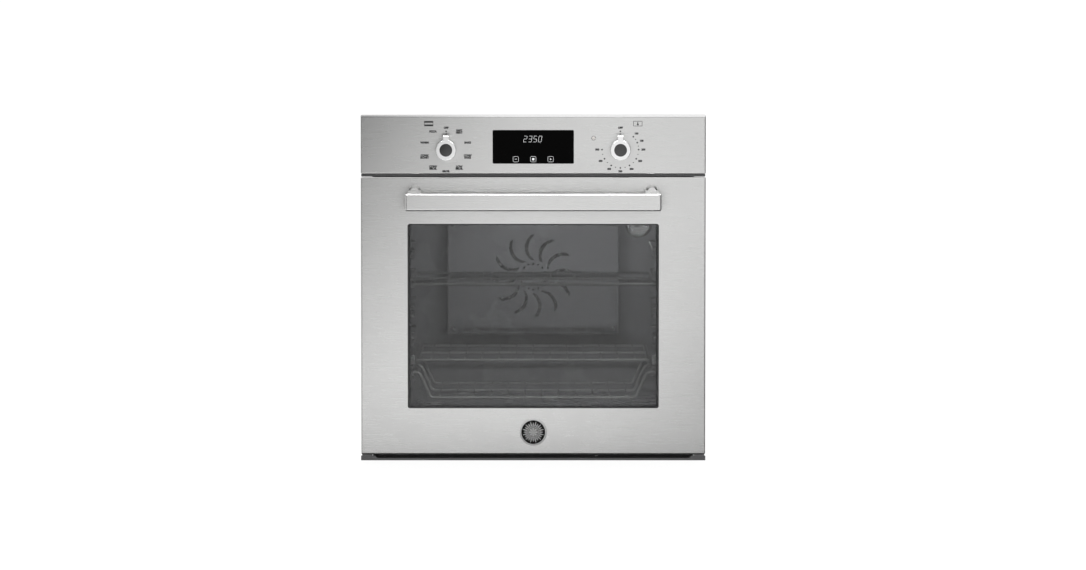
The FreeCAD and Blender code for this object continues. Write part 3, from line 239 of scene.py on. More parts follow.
def mixed(tree, factor, a, b):
    """A mix of two colours."""
    node = new_node(tree, "ShaderNodeMix", data_type="RGBA", Factor=factor)
    give(tree, node.inputs[6], a)
    give(tree, node.inputs[7], b)
    return node.outputs[2]


def join_surface(tree, output, factor, first, second):
    """Mixes two shaders into the tree's output node."""
    choice = new_node(tree, "ShaderNodeMixShader", Fac=factor)
    tree.links.new(first, choice.inputs[1])
    tree.links.new(second, choice.inputs[2])
    tree.links.new(choice.outputs[0], tree.nodes[output].inputs["Surface"])


class Shader:
    """A material with one Principled BSDF, and short ways to set it up."""

    def __init__(self, name, base, metallic=0.0, roughness=0.5):
        self.material = bpy.data.materials.new(name)
        self.material.use_nodes = True
        self.material.diffuse_color = colour(base)
        self.tree = self.material.node_tree
        self.bsdf = self.tree.nodes["Principled BSDF"]
        self.set(Base_Color=colour(base), Metallic=metallic, Roughness=roughness)

    def set(self, **values):
        """Sets or joins the BSDF's sockets by name, with _ for a space."""
        for name, value in values.items():
            give(self.tree, self.bsdf.inputs[name.replace("_", " ")], value)
        return self

    def wear(self, effect, **values):
        """Dresses the BSDF with a shared effect that has these values, and returns the material."""
        node = self.tree.nodes.new("ShaderNodeGroup")
        node.node_tree = effects()[effect]
        for name, value in values.items():
            node.inputs[name.replace("_", " ")].default_value = value
        self.set(Base_Color=node.outputs["Colour"], Roughness=node.outputs["Roughness"],
                 Normal=node.outputs["Normal"])
        return self.material


# ------------------------------------------------------------------ shared effects
def new_group(name, inputs):
    """A node group that puts out a colour, a roughness and a normal.

    inputs is {name: default}; a 4-tuple makes a colour, a 3-tuple a vector, a number a value.
    """
    tree = bpy.data.node_groups.new(name, "ShaderNodeTree")
    for socket, default in inputs.items():
        kind = "NodeSocketFloat"
        if isinstance(default, tuple):
            kind = "NodeSocketColor" if len(default) == 4 else "NodeSocketVector"
        tree.interface.new_socket(socket, in_out="INPUT", socket_type=kind).default_value = default
    for socket, kind in (("Colour", "Color"), ("Roughness", "Float"), ("Normal", "Vector")):
        tree.interface.new_socket(socket, in_out="OUTPUT", socket_type="NodeSocket" + kind)
    return tree, tree.nodes.new("NodeGroupInput").outputs


def put_out(tree, *looks):
    """Joins a group's colour, roughness and normal to its output, and returns the group."""
    for socket, value in zip(tree.nodes.new("NodeGroupOutput").inputs, looks):
        tree.links.new(value, socket)
    return tree


def brushed_group():
    """Brush strokes along one axis: fine scratches over a slow cloudiness, and brighter worn edges."""
    tree, given = new_group("brushed", {
        "Colour": (0.6, 0.6, 0.6, 1), "Roughness": 0.3, "Stroke": (10.0, 900.0, 900.0), "Depth": 0.15,
        "Edge width": 0.0006})
    drawn_out = vector_math(tree, "MULTIPLY", object_place(tree), given["Stroke"])
    strokes = noise(tree, Vector=drawn_out, Scale=1.0, Detail=3.0, Roughness=0.6)
    clouds = noise(tree, Scale=5.0, Detail=4.0, Roughness=0.62)
    prints = noise(tree, Scale=22.0, Detail=5.0, Roughness=0.7)
    edge = edge_mask(tree, given["Edge width"])
    tone = math_node(tree, "MULTIPLY", ranged(tree, strokes, 0.3, 0.7, 0.98, 1.015),
                     ranged(tree, clouds, 0.3, 0.7, 0.975, 1.02))
    toned = vector_math(tree, "SCALE", given["Colour"], Scale=tone)
    bright = vector_math(tree, "SCALE", given["Colour"], Scale=1.18)
    rough = math_node(tree, "ADD", given["Roughness"], ranged(tree, strokes, 0.25, 0.75, -0.02, 0.03))
    rough = math_node(tree, "ADD", rough, ranged(tree, prints, 0.52, 0.75, 0.0, 0.03))
    rough = math_node(tree, "ADD", rough, math_node(tree, "MULTIPLY", edge, -0.08))
    return put_out(tree, mixed(tree, edge, toned, bright), rough,
                   bumped(tree, strokes, given["Depth"], 0.00002))


def edge_mask(tree, width):
    """1 on corners and edges, 0 on flats, broken up a little so that wear is uneven."""
    rounded = new_node(tree, "ShaderNodeBevel", samples=4, Radius=width).outputs[0]
    facing = tree.nodes.new("ShaderNodeNewGeometry").outputs["Normal"]
    sharp = ranged(tree, vector_math(tree, "DOT_PRODUCT", rounded, facing), 0.98, 0.80, 0.0, 1.0)
    uneven = ranged(tree, noise(tree, Scale=60.0, Detail=3.0), 0.3, 0.7, 0.35, 1.0)
    return math_node(tree, "MULTIPLY", sharp, uneven)


def speckled_group():
    """Fired enamel or moulded plastic: fine light flecks, orange peel and a cloudy gloss."""
    tree, given = new_group("speckled", {
        "Colour": (0.05, 0.05, 0.05, 1), "Fleck": (0.4, 0.4, 0.42, 1), "Fleck scale": 900.0,
        "Fleck share": 0.08, "Roughness": 0.2, "Peel": 0.2})
    cells = new_node(tree, "ShaderNodeTexVoronoi", Vector=object_place(tree), Scale=given["Fleck scale"])
    fleck = math_node(tree, "LESS_THAN", cells.outputs["Distance"], given["Fleck share"])
    clouds = ranged(tree, noise(tree, Scale=9.0, Detail=4.0), 0.3, 0.7, -0.04, 0.08)
    peel = noise(tree, Scale=420.0, Detail=2.0)
    return put_out(tree, mixed(tree, fleck, given["Colour"], given["Fleck"]),
                   math_node(tree, "ADD", given["Roughness"], clouds),
                   bumped(tree, peel, given["Peel"], 0.00005))


def spangle_group():
    """Zinc crystals on galvanised sheet: cells of slightly different tone and gloss, with dull stains."""
    tree, given = new_group("spangle", {
        "Colour": (0.5, 0.5, 0.5, 1), "Crystal scale": 70.0, "Roughness": 0.42})
    warp = noise(tree, Scale=35.0, Detail=2.0).node.outputs["Color"]
    bent = vector_math(tree, "MULTIPLY_ADD", warp, (0.012, 0.012, 0.012), object_place(tree))
    cells = new_node(tree, "ShaderNodeTexVoronoi", feature="F1", Vector=bent, Scale=given["Crystal scale"])
    crystal = new_node(tree, "ShaderNodeSeparateColor", Color=cells.outputs["Color"]).outputs
    stains = noise(tree, Scale=4.0, Detail=5.0, Roughness=0.65)
    tone = math_node(tree, "MULTIPLY", ranged(tree, crystal[0], 0.0, 1.0, 0.88, 1.06),
                     ranged(tree, stains, 0.35, 0.7, 1.02, 0.9))
    gloss = ranged(tree, crystal[1], 0.0, 1.0, -0.10, 0.10)
    return put_out(tree, vector_math(tree, "SCALE", given["Colour"], Scale=tone),
                   math_node(tree, "ADD", given["Roughness"], gloss),
                   bumped(tree, crystal[2], 0.04, 0.0002))


EFFECTS = {}


def effects():
    """The shared node groups, built once."""
    if not EFFECTS:
        EFFECTS.update(brushed=brushed_group(), speckled=speckled_group(), spangle=spangle_group())
    return EFFECTS


# ------------------------------------------------------------------ materials
def brushed(name, base, roughness, stroke, depth=0.15, edge=0.0006):
    return Shader(name, base, metallic=1.0, roughness=roughness).wear(
        "brushed", Colour=colour(base), Roughness=roughness, Stroke=stroke, Depth=depth, Edge_width=edge)


def speckled(name, base, fleck, roughness, share=0.08, scale=900.0, peel=0.2, coat=0.0, metallic=0.0,
             gloss=0.5):
    shader = Shader(name, base, metallic=metallic, roughness=roughness)
    shader.set(Coat_Weight=coat, Coat_Roughness=0.06, Specular_IOR_Level=gloss)
    return shader.wear("speckled", Colour=colour(base), Fleck=colour(fleck), Fleck_scale=scale,
                       Fleck_share=share, Roughness=roughness, Peel=peel)


def galvanised(name, base):
    return Shader(name, base, metallic=0.85, roughness=0.42).wear(
        "spangle", Colour=colour(base), Crystal_scale=70.0, Roughness=0.42)


def clear_pane(name, tint, refraction):
    """A pane that refracts and reflects, and lets the studio's light through for what is behind it."""
    shader = Shader(name, tint, roughness=0.0)
    tree = shader.tree
    smear = noise(tree, Scale=14.0, Detail=5.0, Roughness=0.65)
    shader.set(Transmission_Weight=1.0, IOR=refraction, Roughness=ranged(tree, smear, 0.6, 0.85, 0.0, 0.006))
    shadow = tree.nodes.new("ShaderNodeLightPath").outputs["Is Shadow Ray"]
    through = new_node(tree, "ShaderNodeBsdfTransparent", Color=colour(tint))
    join_surface(tree, "Material Output", shadow, shader.bsdf.outputs[0], through.outputs[0])
    return shader.material


def lit(name, base, strength):
    """A faintly uneven glowing segment behind black glass."""
    shader = Shader(name, base, roughness=0.4)
    dim = colour(tuple(0.82 * c for c in base))
    glow = mixed(shader.tree, noise(shader.tree, Scale=700.0, Detail=2.0), dim, colour(base))
    return shader.set(Emission_Color=glow, Emission_Strength=strength).material


def badge_metal(name):
    """Dark cast ground with a polished rim, bright tops on the relief and petals on the hub."""
    shader = Shader(name, (0.1, 0.1, 0.1), metallic=1.0, roughness=0.3)
    tree, place = shader.tree, object_place(shader.tree)
    reach, front_y = (BADGE[1].x - BADGE[0].x) / 2, BADGE[0].y
    offset = vector_math(tree, "SUBTRACT", place, centre("badge"))
    flat = vector_math(tree, "MULTIPLY", offset, (1, 0, 1))
    radius = vector_math(tree, "LENGTH", flat)
    rim = ranged(tree, radius, reach * 0.905, reach * 0.93, 0.0, 1.0)
    depth = new_node(tree, "ShaderNodeSeparateXYZ", Vector=place).outputs["Y"]
    top = ranged(tree, depth, front_y + 0.6 * MM, front_y + 0.35 * MM, 0.0, 0.95)
    across = new_node(tree, "ShaderNodeSeparateXYZ", Vector=flat).outputs
    turn = math_node(tree, "ARCTAN2", across["Z"], across["X"])
    petals = math_node(tree, "COSINE", math_node(tree, "MULTIPLY", turn, 8.0))
    petals = ranged(tree, petals, -0.35, 0.25, 0.25, 1.0)
    outside_hub = ranged(tree, radius, 7.5 * MM, 8.2 * MM, 0.0, 1.0)
    relief = math_node(tree, "MULTIPLY", top, math_node(tree, "MAXIMUM", petals, outside_hub))
    mask = math_node(tree, "MAXIMUM", rim, relief)
    grit = noise(tree, Scale=900.0, Detail=4.0)
    return shader.set(Base_Color=mixed(tree, mask, (0.012, 0.012, 0.012, 1), (0.62, 0.62, 0.62, 1)),
                      Roughness=ranged(tree, grit, 0.3, 0.7, 0.24, 0.5),
                      Normal=bumped(tree, grit, 0.12, 0.0001)).material


def element_metal(name):
    """Heater tube: dull, with a heat-tinted patchiness."""
    shader = Shader(name, (0.16, 0.15, 0.14), metallic=0.9, roughness=0.5)
    tree = shader.tree
    heat = noise(tree, Scale=16.0, Detail=5.0, Roughness=0.6)
    fine = noise(tree, Scale=1500.0, Detail=2.0)
    return shader.set(Base_Color=mixed(tree, heat, (0.09, 0.085, 0.085, 1), (0.26, 0.22, 0.19, 1)),
                      Roughness=ranged(tree, heat, 0.3, 0.7, 0.36, 0.62),
                      Normal=bumped(tree, fine, 0.2, 0.00005)).material


def mineral_wool(name):
    """Matted fibres."""
    shader = Shader(name, (0.60, 0.55, 0.42), roughness=0.95)
    tree = shader.tree
    drawn_out = vector_math(tree, "MULTIPLY", object_place(tree), (90, 260, 900))
    fibre = noise(tree, Vector=drawn_out, Scale=1.0, Detail=6.0, Roughness=0.7, Distortion=0.6)
    return shader.set(Base_Color=mixed(tree, fibre, (0.42, 0.37, 0.27, 1), (0.78, 0.74, 0.62, 1)),
                      Normal=bumped(tree, fibre, 0.6, 0.0008)).material


def finishes():
    """Every material, by the record's slot name."""
    s = bpy.context.scene.oven_finish
    steel = tuple(s.steel_color)
    along_x = (1 / s.grain_length, 2200.0, 2200.0)
    casing = tuple(s.casing_color)
    ink = tuple(bpy.context.scene.oven_legend.ink_color)
    clock = tuple(bpy.context.scene.oven_clock.lit_color)
    return {
        "front_steel": brushed("brushed_stainless", steel, s.steel_roughness, along_x, 0.035),
        "knob_chrome": brushed("polished_knob", (0.80, 0.80, 0.80), 0.13, (900.0, 12.0, 900.0), 0.04, 0.0008),
        "cap_dark": brushed("dark_cap", (0.082, 0.082, 0.082), 0.34, (1800.0, 30.0, 1800.0), 0.12, 0.0004),
        "black_glass": speckled("black_glass", (0.0015, 0.0015, 0.0015), (0.003, 0.003, 0.003), 0.08, peel=0.01,
                                gloss=0.01),
        "tinted_glass": clear_pane("tinted_pane", tuple(s.glass_tint), 1.34),
        "clear_glass": clear_pane("clear_pane", (0.945, 0.955, 0.95), 1.30),
        "galvanised": galvanised("galvanised_sheet", casing),
        "enamel": speckled("speckled_enamel", tuple(s.enamel_color), (0.17, 0.17, 0.175), 0.24, share=0.10,
                           scale=520.0, peel=0.2, coat=0.4),
        "dark_trim": speckled("dark_trim_paint", (0.055, 0.055, 0.057), (0.08, 0.08, 0.08), 0.36, peel=0.35),
        "wire_chrome": brushed("bright_wire", (0.70, 0.70, 0.69), 0.16, (400.0, 400.0, 400.0), 0.05, 0.0004),
        "element_metal": element_metal("heater_tube"),
        "motor_metal": speckled("motor_laminations", (0.20, 0.21, 0.22), (0.34, 0.34, 0.35), 0.42, share=0.2,
                                scale=260.0, peel=0.5, metallic=0.7),
        "plain_steel": brushed("machined_steel", (0.55, 0.55, 0.56), 0.26, (700.0, 60.0, 700.0), 0.12, 0.0005),
        "wool": mineral_wool("mineral_wool"),
        "silicone": speckled("silicone_seal", (0.035, 0.035, 0.036), (0.05, 0.05, 0.05), 0.55, peel=0.5),
        "board": speckled("circuit_board", (0.02, 0.13, 0.06), (0.35, 0.30, 0.10), 0.35, share=0.22,
                          scale=240.0, peel=0.2),
        "switch_plastic": speckled("switch_moulding", (0.66, 0.64, 0.57), (0.60, 0.58, 0.52), 0.45, peel=0.4),
        "rail_cap": speckled("rail_cap_moulding", (0.34, 0.34, 0.345), (0.40, 0.40, 0.40), 0.5, peel=0.3),
        "gland_plastic": speckled("gland_moulding", (0.022, 0.022, 0.023), (0.03, 0.03, 0.03), 0.42, peel=0.6),
        "pilot": speckled("pilot_amber", (0.46, 0.44, 0.42), (0.50, 0.48, 0.46), 0.12, peel=0.05, coat=0.8),
        "badge_metal": badge_metal("cast_medallion"),
        "ink": speckled("dial_ink", ink, tuple(1.4 * c for c in ink), 0.45, share=0.15, scale=2600.0, peel=0.3),
        "frit": speckled("fired_black_print", (0.010, 0.010, 0.011), (0.016, 0.016, 0.016), 0.14, peel=0.06),
        "lit": lit("lit_segments", clock, 0.72),
    }


MATERIALS = {}


def dress_nodes():
    """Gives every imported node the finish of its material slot."""
    MATERIALS.update(finishes())
    for row in frame["record"]["subparts"]:
        mesh = frame["nodes"][row["node"]].data
        mesh.materials.clear()
        mesh.materials.append(MATERIALS[row["material_slot"]])


# ------------------------------------------------------------------ mesh helpers
def new_object(name, build, material):
    """A mesh object from a function that fills a bmesh."""
    mesh = bpy.data.meshes.new(name)
    shape = bmesh.new()
    build(shape)
    bmesh.ops.recalc_face_normals(shape, faces=shape.faces)
    shape.to_mesh(mesh)
    shape.free()
    mesh.materials.append(material)
    made = bpy.data.objects.new(name, mesh)
    bpy.context.scene.collection.objects.link(made)
    return made


def piece(name, build, slot, body, finish=None, bevel=0.0, smooth=False):
    """Makes a mesh piece, dresses it in the slot's finish or another one, and lets it ride on a body."""
    made = new_object(name, build, MATERIALS[finish or slot])
    for face in made.data.polygons:
        face.use_smooth = smooth
    if bevel:
        rounding = made.modifiers.new("rounding", "BEVEL")
        rounding.width = bevel
        rounding.segments = 3
        rounding.limit_method = "ANGLE"
        rounding.angle_limit = math.radians(40)
    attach(made, body)
    return made


def add_prism(shape, outline, y0, y1):
    """A solid with an outline in X and Z, from y0 to y1."""
    front = [shape.verts.new((x, y0, z)) for x, z in outline]
    back = [shape.verts.new((x, y1, z)) for x, z in outline]
    shape.faces.new(front)
    shape.faces.new(list(reversed(back)))
    for k in range(len(outline)):
        j = (k + 1) % len(outline)
        shape.faces.new((front[k], back[k], back[j], front[j]))


def add_bar(shape, x0, x1, z0, z1, y0, y1):
    add_prism(shape, [(x0, z0), (x1, z0), (x1, z1), (x0, z1)], y0, y1)


def add_plate(shape, outline, x0, x1):
    """A solid with an outline in Y and Z, from x0 to x1."""
    rows = [[shape.verts.new((x, y, z)) for y, z in outline] for x in (x0, x1)]
    for row in rows:
        shape.faces.new(row)
    for k in range(len(outline)):
        j = (k + 1) % len(outline)
        shape.faces.new((rows[0][k], rows[1][k], rows[1][j], rows[0][j]))


def add_ring(shape, outer, inner, y0, y1):
    """A flat ring between two outlines with as many points each."""
    loops = [[shape.verts.new((x, y, z)) for x, z in line] for line in (outer, inner) for y in (y0, y1)]
    outer_front, outer_back, inner_front, inner_back = loops
    for k in range(len(outer)):
        j = (k + 1) % len(outer)
        for a, b in ((outer_front, outer_back), (inner_back, inner_front), (inner_front, outer_front),
                     (outer_back, inner_back)):
            shape.faces.new((a[k], b[k], b[j], a[j]))


def add_frame(shape, box, r, band, inner_r, y0, y1):
    """A rounded frame as wide as the band, inside a box of x0, x1, z0, z1."""
    x0, x1, z0, z1 = box
    add_ring(shape, rounded_rectangle(x0, x1, z0, z1, r),
             rounded_rectangle(x0 + band, x1 - band, z0 + band, z1 - band, inner_r), y0, y1)


def circle(x, z, r, count=24):
    turn = 2 * math.pi / count
    return [(x + r * math.cos(k * turn), z + r * math.sin(k * turn)) for k in range(count)]


def rounded_rectangle(x0, x1, z0, z1, r, steps=6):
    """Corner points of a rectangle with arcs, anticlockwise."""
    corners = ((x1 - r, z1 - r, 0), (x0 + r, z1 - r, 1), (x0 + r, z0 + r, 2), (x1 - r, z0 + r, 3))
    points = []
    for cx, cz, quarter in corners:
        for k in range(steps + 1):
            angle = (quarter + k / steps) * math.pi / 2
            points.append((cx + r * math.cos(angle), cz + r * math.sin(angle)))
    return points


def add_words(shape, text, size, x, z, y, depth):
    """Raised printing that faces the front, centred on x and z."""
    curve = bpy.data.curves.new("words", "FONT")
    curve.body = text
    curve.size = size
    curve.align_x = "CENTER"
    curve.align_y = "CENTER"
    curve.space_line = 0.82
    curve.resolution_u = 3
    curve.offset = 0.085 * size
    curve.extrude = depth / 2
    holder = bpy.data.objects.new("words", curve)
    bpy.context.scene.collection.objects.link(holder)
    bpy.context.view_layer.update()
    mesh = bpy.data.meshes.new_from_object(holder.evaluated_get(bpy.context.evaluated_depsgraph_get()))
    mesh.transform(Matrix.Translation((x, y - depth / 2, z)) @ Matrix.Rotation(math.pi / 2, 4, "X"))
    shape.from_mesh(mesh)
    bpy.data.objects.remove(holder)
    bpy.data.curves.remove(curve)
    bpy.data.meshes.remove(mesh)


def polar(middle, radius, degrees):
    """A point on a dial, clockwise from the top as seen from the front."""
    angle = math.radians(degrees)
    return middle.x + radius * math.sin(angle), middle.z + radius * math.cos(angle)


# ------------------------------------------------------------------ printing on the control panel
FUNCTION_WORDS = ("OFF", "FAST\nHEAT", "BAKE", "CONV\nBAKE", "LOW\nBROIL", "BROIL", "CONV\nBROIL",
                  "CONV\nROAST", "WARM", "PIZZA")
DEGREES_F = {45: "100", 67.5: "150", 90: "200", 120: "250", 150: "300", 180: "350", 210: "400", 240: "450",
             270: "500"}


def print_label(shape, s, middle, words, angle, spread=0.0, scale=1.0):
    """A legend on a dial, moved out at the sides by up to the spread, because it is wide."""
    x, z = polar(middle, s.label_radius + spread * abs(math.sin(math.radians(angle))), angle)
    add_words(shape, words, s.text_size * scale, x, z, FACE_Y, s.ink_thickness)


def print_dot(shape, s, middle, angle, share=1.0):
    x, z = polar(middle, s.dot_radius, angle)
    add_prism(shape, circle(x, z, s.dot_size * share), FACE_Y - s.ink_thickness, FACE_Y)


def print_function_dial(s):
    middle = centre("function_shaft")

    def build(shape):
        for k, words in enumerate(FUNCTION_WORDS):
            print_label(shape, s, middle, words, 360 * k / len(FUNCTION_WORDS), spread=1.5 * MM)
        print_dot(shape, s, middle, 0)

    piece("function_dial_print", build, "front_steel", "cabinet", finish="ink")


def print_temperature_dial(s):
    middle = centre("temperature_shaft")
    marks = sorted(DEGREES_F)

    def build(shape):
        print_label(shape, s, middle, "OFF", 0)
        for angle in (0, *marks):
            print_dot(shape, s, middle, angle)
        for a, b in zip(marks, marks[1:]):
            print_dot(shape, s, middle, (a + b) / 2, share=0.6)
        for angle, degrees in DEGREES_F.items():
            print_label(shape, s, middle, degrees, angle, spread=2.2 * MM, scale=0.95)

    piece("temperature_dial_print", build, "front_steel", "cabinet", finish="ink")


def print_icons(s):
    """Small pictures over the knobs: an oven on the left and a thermometer in a frame on the right."""
    z, aside = FASCIA[1].z - 15.0 * MM, 30 * MM
    left, right = centre("function_shaft").x - aside, centre("temperature_shaft").x + aside
    half, rise, line = 7.8 * MM, 4.5 * MM, 0.8 * MM
    slot, post = 1.5 * MM, 0.6 * MM

    def build(shape):
        y0, y1 = FACE_Y - s.ink_thickness, FACE_Y
        for bar in ((left - half, left + half, z + slot, z + rise),
                    (left - half, left + half, z - rise, z - slot),
                    (left - half, left - half + post, z - slot, z + slot),
                    (left + half - post, left + half, z - slot, z + slot),
                    (right - 0.7 * MM, right + 0.7 * MM, z - 1.2 * MM, z + 2.8 * MM)):
            add_bar(shape, *bar, y0, y1)
        add_frame(shape, (right - half, right + half, z - rise, z + rise), line, line, line / 2, y0, y1)
        add_prism(shape, circle(right, z - 1.5 * MM, 1.6 * MM), y0, y1)

    piece("panel_icons", build, "front_steel", "cabinet", finish="ink")


def print_pilot_ring(s):
    """A thin printed circle round the indicator lens."""
    middle = centre("pilot_lens")
    low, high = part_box("pilot_lens")
    outer, inner = (circle(middle.x, middle.z, share * (high.x - low.x) / 2, 32) for share in (0.86, 0.70))
    piece("pilot_ring_print", lambda shape: add_ring(shape, outer, inner, FACE_Y - s.ink_thickness, FACE_Y),
          "front_steel", "cabinet", finish="ink")


def panel_edges():
    """A strip of the knobs' brighter polished finish along the panel's top, a painted highlight for the panel's
    lit top edge; a thin ink line under it, a painted shadow line; and the dark lip over the door's gap.
    """
    low, high = FASCIA
    top = high.z - 0.8 * MM
    highlight_low = top - 3.0 * MM

    def strip(name, end_gap, y0, y1, z0, z1, slot, **looks):
        x = high.x - end_gap
        piece(name, lambda shape: add_bar(shape, -x, x, z0, z1, FACE_Y + y0, FACE_Y + y1), slot, "cabinet",
              **looks)

    # painted highlight: a brighter strip of the polished knob finish stands in for the light on the panel's top
    # edge
    strip("panel_top_highlight", 1.2 * MM, -0.12 * MM, 0.0, highlight_low, top, "front_steel", finish="knob_chrome",
          bevel=0.05 * MM)
    # painted shadow line: a thin strip of ink under the top highlight
    strip("panel_shadow_line", 1.2 * MM, -0.05 * MM, 0.0, highlight_low - 0.4 * MM, highlight_low, "front_steel", finish="ink")
    strip("gap_lip", 1.0 * MM, 4.5 * MM, 6.5 * MM, low.z - 4.15 * MM, low.z, "dark_trim", bevel=0.3 * MM)


# ------------------------------------------------------------------ clock
SEGMENTS = {"0": "abcdef", "1": "bc", "2": "abged", "3": "abgcd", "4": "fgbc", "5": "afgcd", "6": "afgedc",
            "7": "abc", "8": "abcdefg", "9": "abcdfg"}
LIT_DEPTH = 0.04 * MM


def segment_outlines(digit, height, slant):
    """Outlines of the lit segments of one digit, about its middle, as lists of (x, z)."""
    width, thick = height * 0.50, height * 0.046
    w, h, gap = width / 2, height / 2, thick * 0.18

    def bar(x0, z0, x1, z1):
        """A segment with pointed ends from one corner of the figure to the next."""
        along = Vector((x1 - x0, z1 - z0)).normalized()
        side = Vector((-along.y, along.x)) * thick / 2
        a, b = Vector((x0, z0)) + along * gap, Vector((x1, z1)) - along * gap
        tip = along * thick / 2
        return [a, a + tip - side, b - tip - side, b, b - tip + side, a + tip + side]

    spans = {"a": (-w, h, w, h), "b": (w, h, w, 0), "c": (w, 0, w, -h), "d": (-w, -h, w, -h),
             "e": (-w, -h, -w, 0), "f": (-w, 0, -w, h), "g": (-w, 0, w, 0)}
    lean = math.tan(slant)
    return [[(p.x + lean * p.y, p.y) for p in bar(*spans[name])] for name in SEGMENTS[digit]]


def light_clock(s):
    """Four slanted digits of seven segments, over the display's middle."""
    glass_y, middle = CLOCK[0].y, centre("display_glass")
    first_x, z = middle.x - 0.9 * MM - 1.5 * s.digit_pitch, middle.z + 13.5 * MM

    def build(shape):
        for k, digit in enumerate(s.clock_time):
            x = first_x + k * s.digit_pitch
            for outline in segment_outlines(digit, s.digit_height, s.slant):
                add_prism(shape, [(x + dx, z + dz) for dx, dz in outline], glass_y - LIT_DEPTH, glass_y)

    piece("clock_digits", build, "black_glass", "cabinet", finish="lit")


def light_touch_keys(s):
    """Three outlined keys: a minus, a filled square and a plus."""
    glass_y, middle = CLOCK[0].y, centre("display_glass")
    z, pitch = middle.z - 21.3 * MM, 30 * MM
    half, line, square, arm, thin = s.key_size / 2, 0.45 * MM, 1.9 * MM, 1.7 * MM, 0.35 * MM

    def build(shape):
        y0, y1 = glass_y - LIT_DEPTH, glass_y
        for k in (-1, 0, 1):
            x = middle.x + k * pitch
            add_frame(shape, (x - half, x + half, z - half, z + half), 2.2 * MM, line, 1.4 * MM, y0, y1)
            if k == 0:
                add_prism(shape, rounded_rectangle(x - square, x + square, z - square, z + square, 0.4 * MM),
                          y0, y1)
            else:
                add_bar(shape, x - arm, x + arm, z - thin, z + thin, y0, y1)
            if k == 1:
                add_bar(shape, x - thin, x + thin, z + thin, z + arm, y0, y1)
                add_bar(shape, x - thin, x + thin, z - arm, z - thin, y0, y1)

    piece("touch_key_marks", build, "black_glass", "cabinet", finish="lit")


# ------------------------------------------------------------------ door details
def window_border():
    """Black fired print behind the outer pane's edge."""
    low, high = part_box("outer_glass")
    margin = 1 * MM
    box = (low.x + margin, high.x - margin, low.z + margin, high.z - margin)
    piece("window_border", lambda shape: add_frame(shape, box, 5 * MM, 15.2 * MM, 3 * MM, low.y - 0.02 * MM,
                                                   low.y + 0.04 * MM), "tinted_glass", "door", finish="frit")


def inner_pane_border():
    """Black fired print on the inner pane, with two rows of dots along its edge."""
    low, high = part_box("inner_glass")
    margin, band, pitch = 1 * MM, 46 * MM, 3.2 * MM
    x, z0, z1 = high.x - margin, low.z + margin, high.z - margin
    y0, y1 = high.y, high.y + 0.05 * MM

    def build(shape):
        add_frame(shape, (-x, x, z0, z1), 5 * MM, band, 12 * MM, y0, y1)
        for row, radius in enumerate((0.9 * MM, 0.6 * MM)):
            edge = band + (1.6 + 2.6 * row) * MM
            across = int((2 * (x - edge)) / pitch)
            up = int((z1 - z0 - 2 * edge) / pitch)
            spots = [(-x + edge + k * pitch, z) for k in range(across + 1) for z in (z0 + edge, z1 - edge)]
            spots += [(side, z0 + edge + k * pitch) for k in range(1, up) for side in (-x + edge, x - edge)]
            for spot in spots:
                add_prism(shape, circle(*spot, radius, 8), y0, y1)

    piece("inner_pane_border", build, "clear_glass", "door", finish="frit")


def handle_ends():
    """Dark plates let into the ends of the handle bar: painted shade that darkens the bar's ends."""
    low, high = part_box("handle_bar")
    inset, thick = 3.6 * MM, 0.25 * MM

    def build(shape):
        # painted shade: dark plates over the bar's end faces
        outline = rounded_rectangle(low.y + inset, high.y - inset, low.z + inset, high.z - inset, 2.0 * MM)
        add_plate(shape, outline, low.x - thick, low.x)
        add_plate(shape, outline, high.x, high.x + thick)

    piece("handle_end_shade_plates", build, "dark_trim", "door")


# ------------------------------------------------------------------ casing and cavity details
def vent_cheeks():
    """Dark end pieces behind the vent's corners, hollowed to clear the door's lower edge as it swings."""
    pivot_y, pivot_z, swing = DOOR[0].y + 14 * MM, DOOR[0].z + 13 * MM, 19.1 * MM
    back, front, floor_z, steps = FACE_Y + 26.6 * MM, FACE_Y + 18.5 * MM, 1.2 * MM, 8
    outer, inner = DOOR[1].x - 1 * MM, DOOR[1].x - 19 * MM
    hollow = [back + (front - back) * k / steps for k in range(steps + 1)]
    outline = [(back, floor_z)]
    outline += [(y, pivot_z - math.sqrt(swing ** 2 - (y - pivot_y) ** 2)) for y in hollow]
    outline.append((hollow[-1], floor_z))

    def build(shape):
        add_plate(shape, outline, -outer, -inner)
        add_plate(shape, outline, inner, outer)

    piece("vent_cheeks", build, "dark_trim", "cabinet")


def rail_caps():
    """Pale moulded caps on the front ends of the sliding rails."""
    low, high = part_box("slide_rails")
    inner, outer, thick = high.x - 11.0 * MM, high.x - 3.0 * MM, 1.2 * MM

    def build(shape):
        for x0, x1 in ((-outer, -inner), (inner, outer)):
            add_prism(shape, rounded_rectangle(x0, x1, low.z + 0.5 * MM, high.z, 1.2 * MM, 3), low.y - thick,
                      low.y)

    piece("rail_end_caps", build, "wire_chrome", "sliding_shelf", finish="rail_cap", bevel=0.3 * MM)


def baffle_screws():
    """Four pan-head screws that hold the fan baffle."""
    low, high = BAFFLE
    y, inset = low.y + 2.5 * MM, 11 * MM

    def build(shape):
        for side in (-1, 1):
            for z in (low.z + inset, high.z - inset):
                add_dome(shape, side * (high.x - inset), y, z, 4.2 * MM, 2.2 * MM)

    piece("baffle_screws", build, "plain_steel", "cabinet", smooth=True)


def add_dome(shape, x, y, z, radius, height, rings=5, count=20):
    """A flat-backed dome that points to the front."""
    rows = []
    for k in range(rings):
        angle = k / rings * math.pi / 2
        depth = y - height * math.sin(angle)
        rows.append([shape.verts.new((px, depth, pz))
                     for px, pz in circle(x, z, radius * math.cos(angle), count)])
    for a, b in zip(rows, rows[1:]):
        for k in range(count):
            j = (k + 1) % count
            shape.faces.new((a[k], a[j], b[j], b[k]))
    shape.faces.new(rows[-1])
    shape.faces.new(list(reversed(rows[0])))


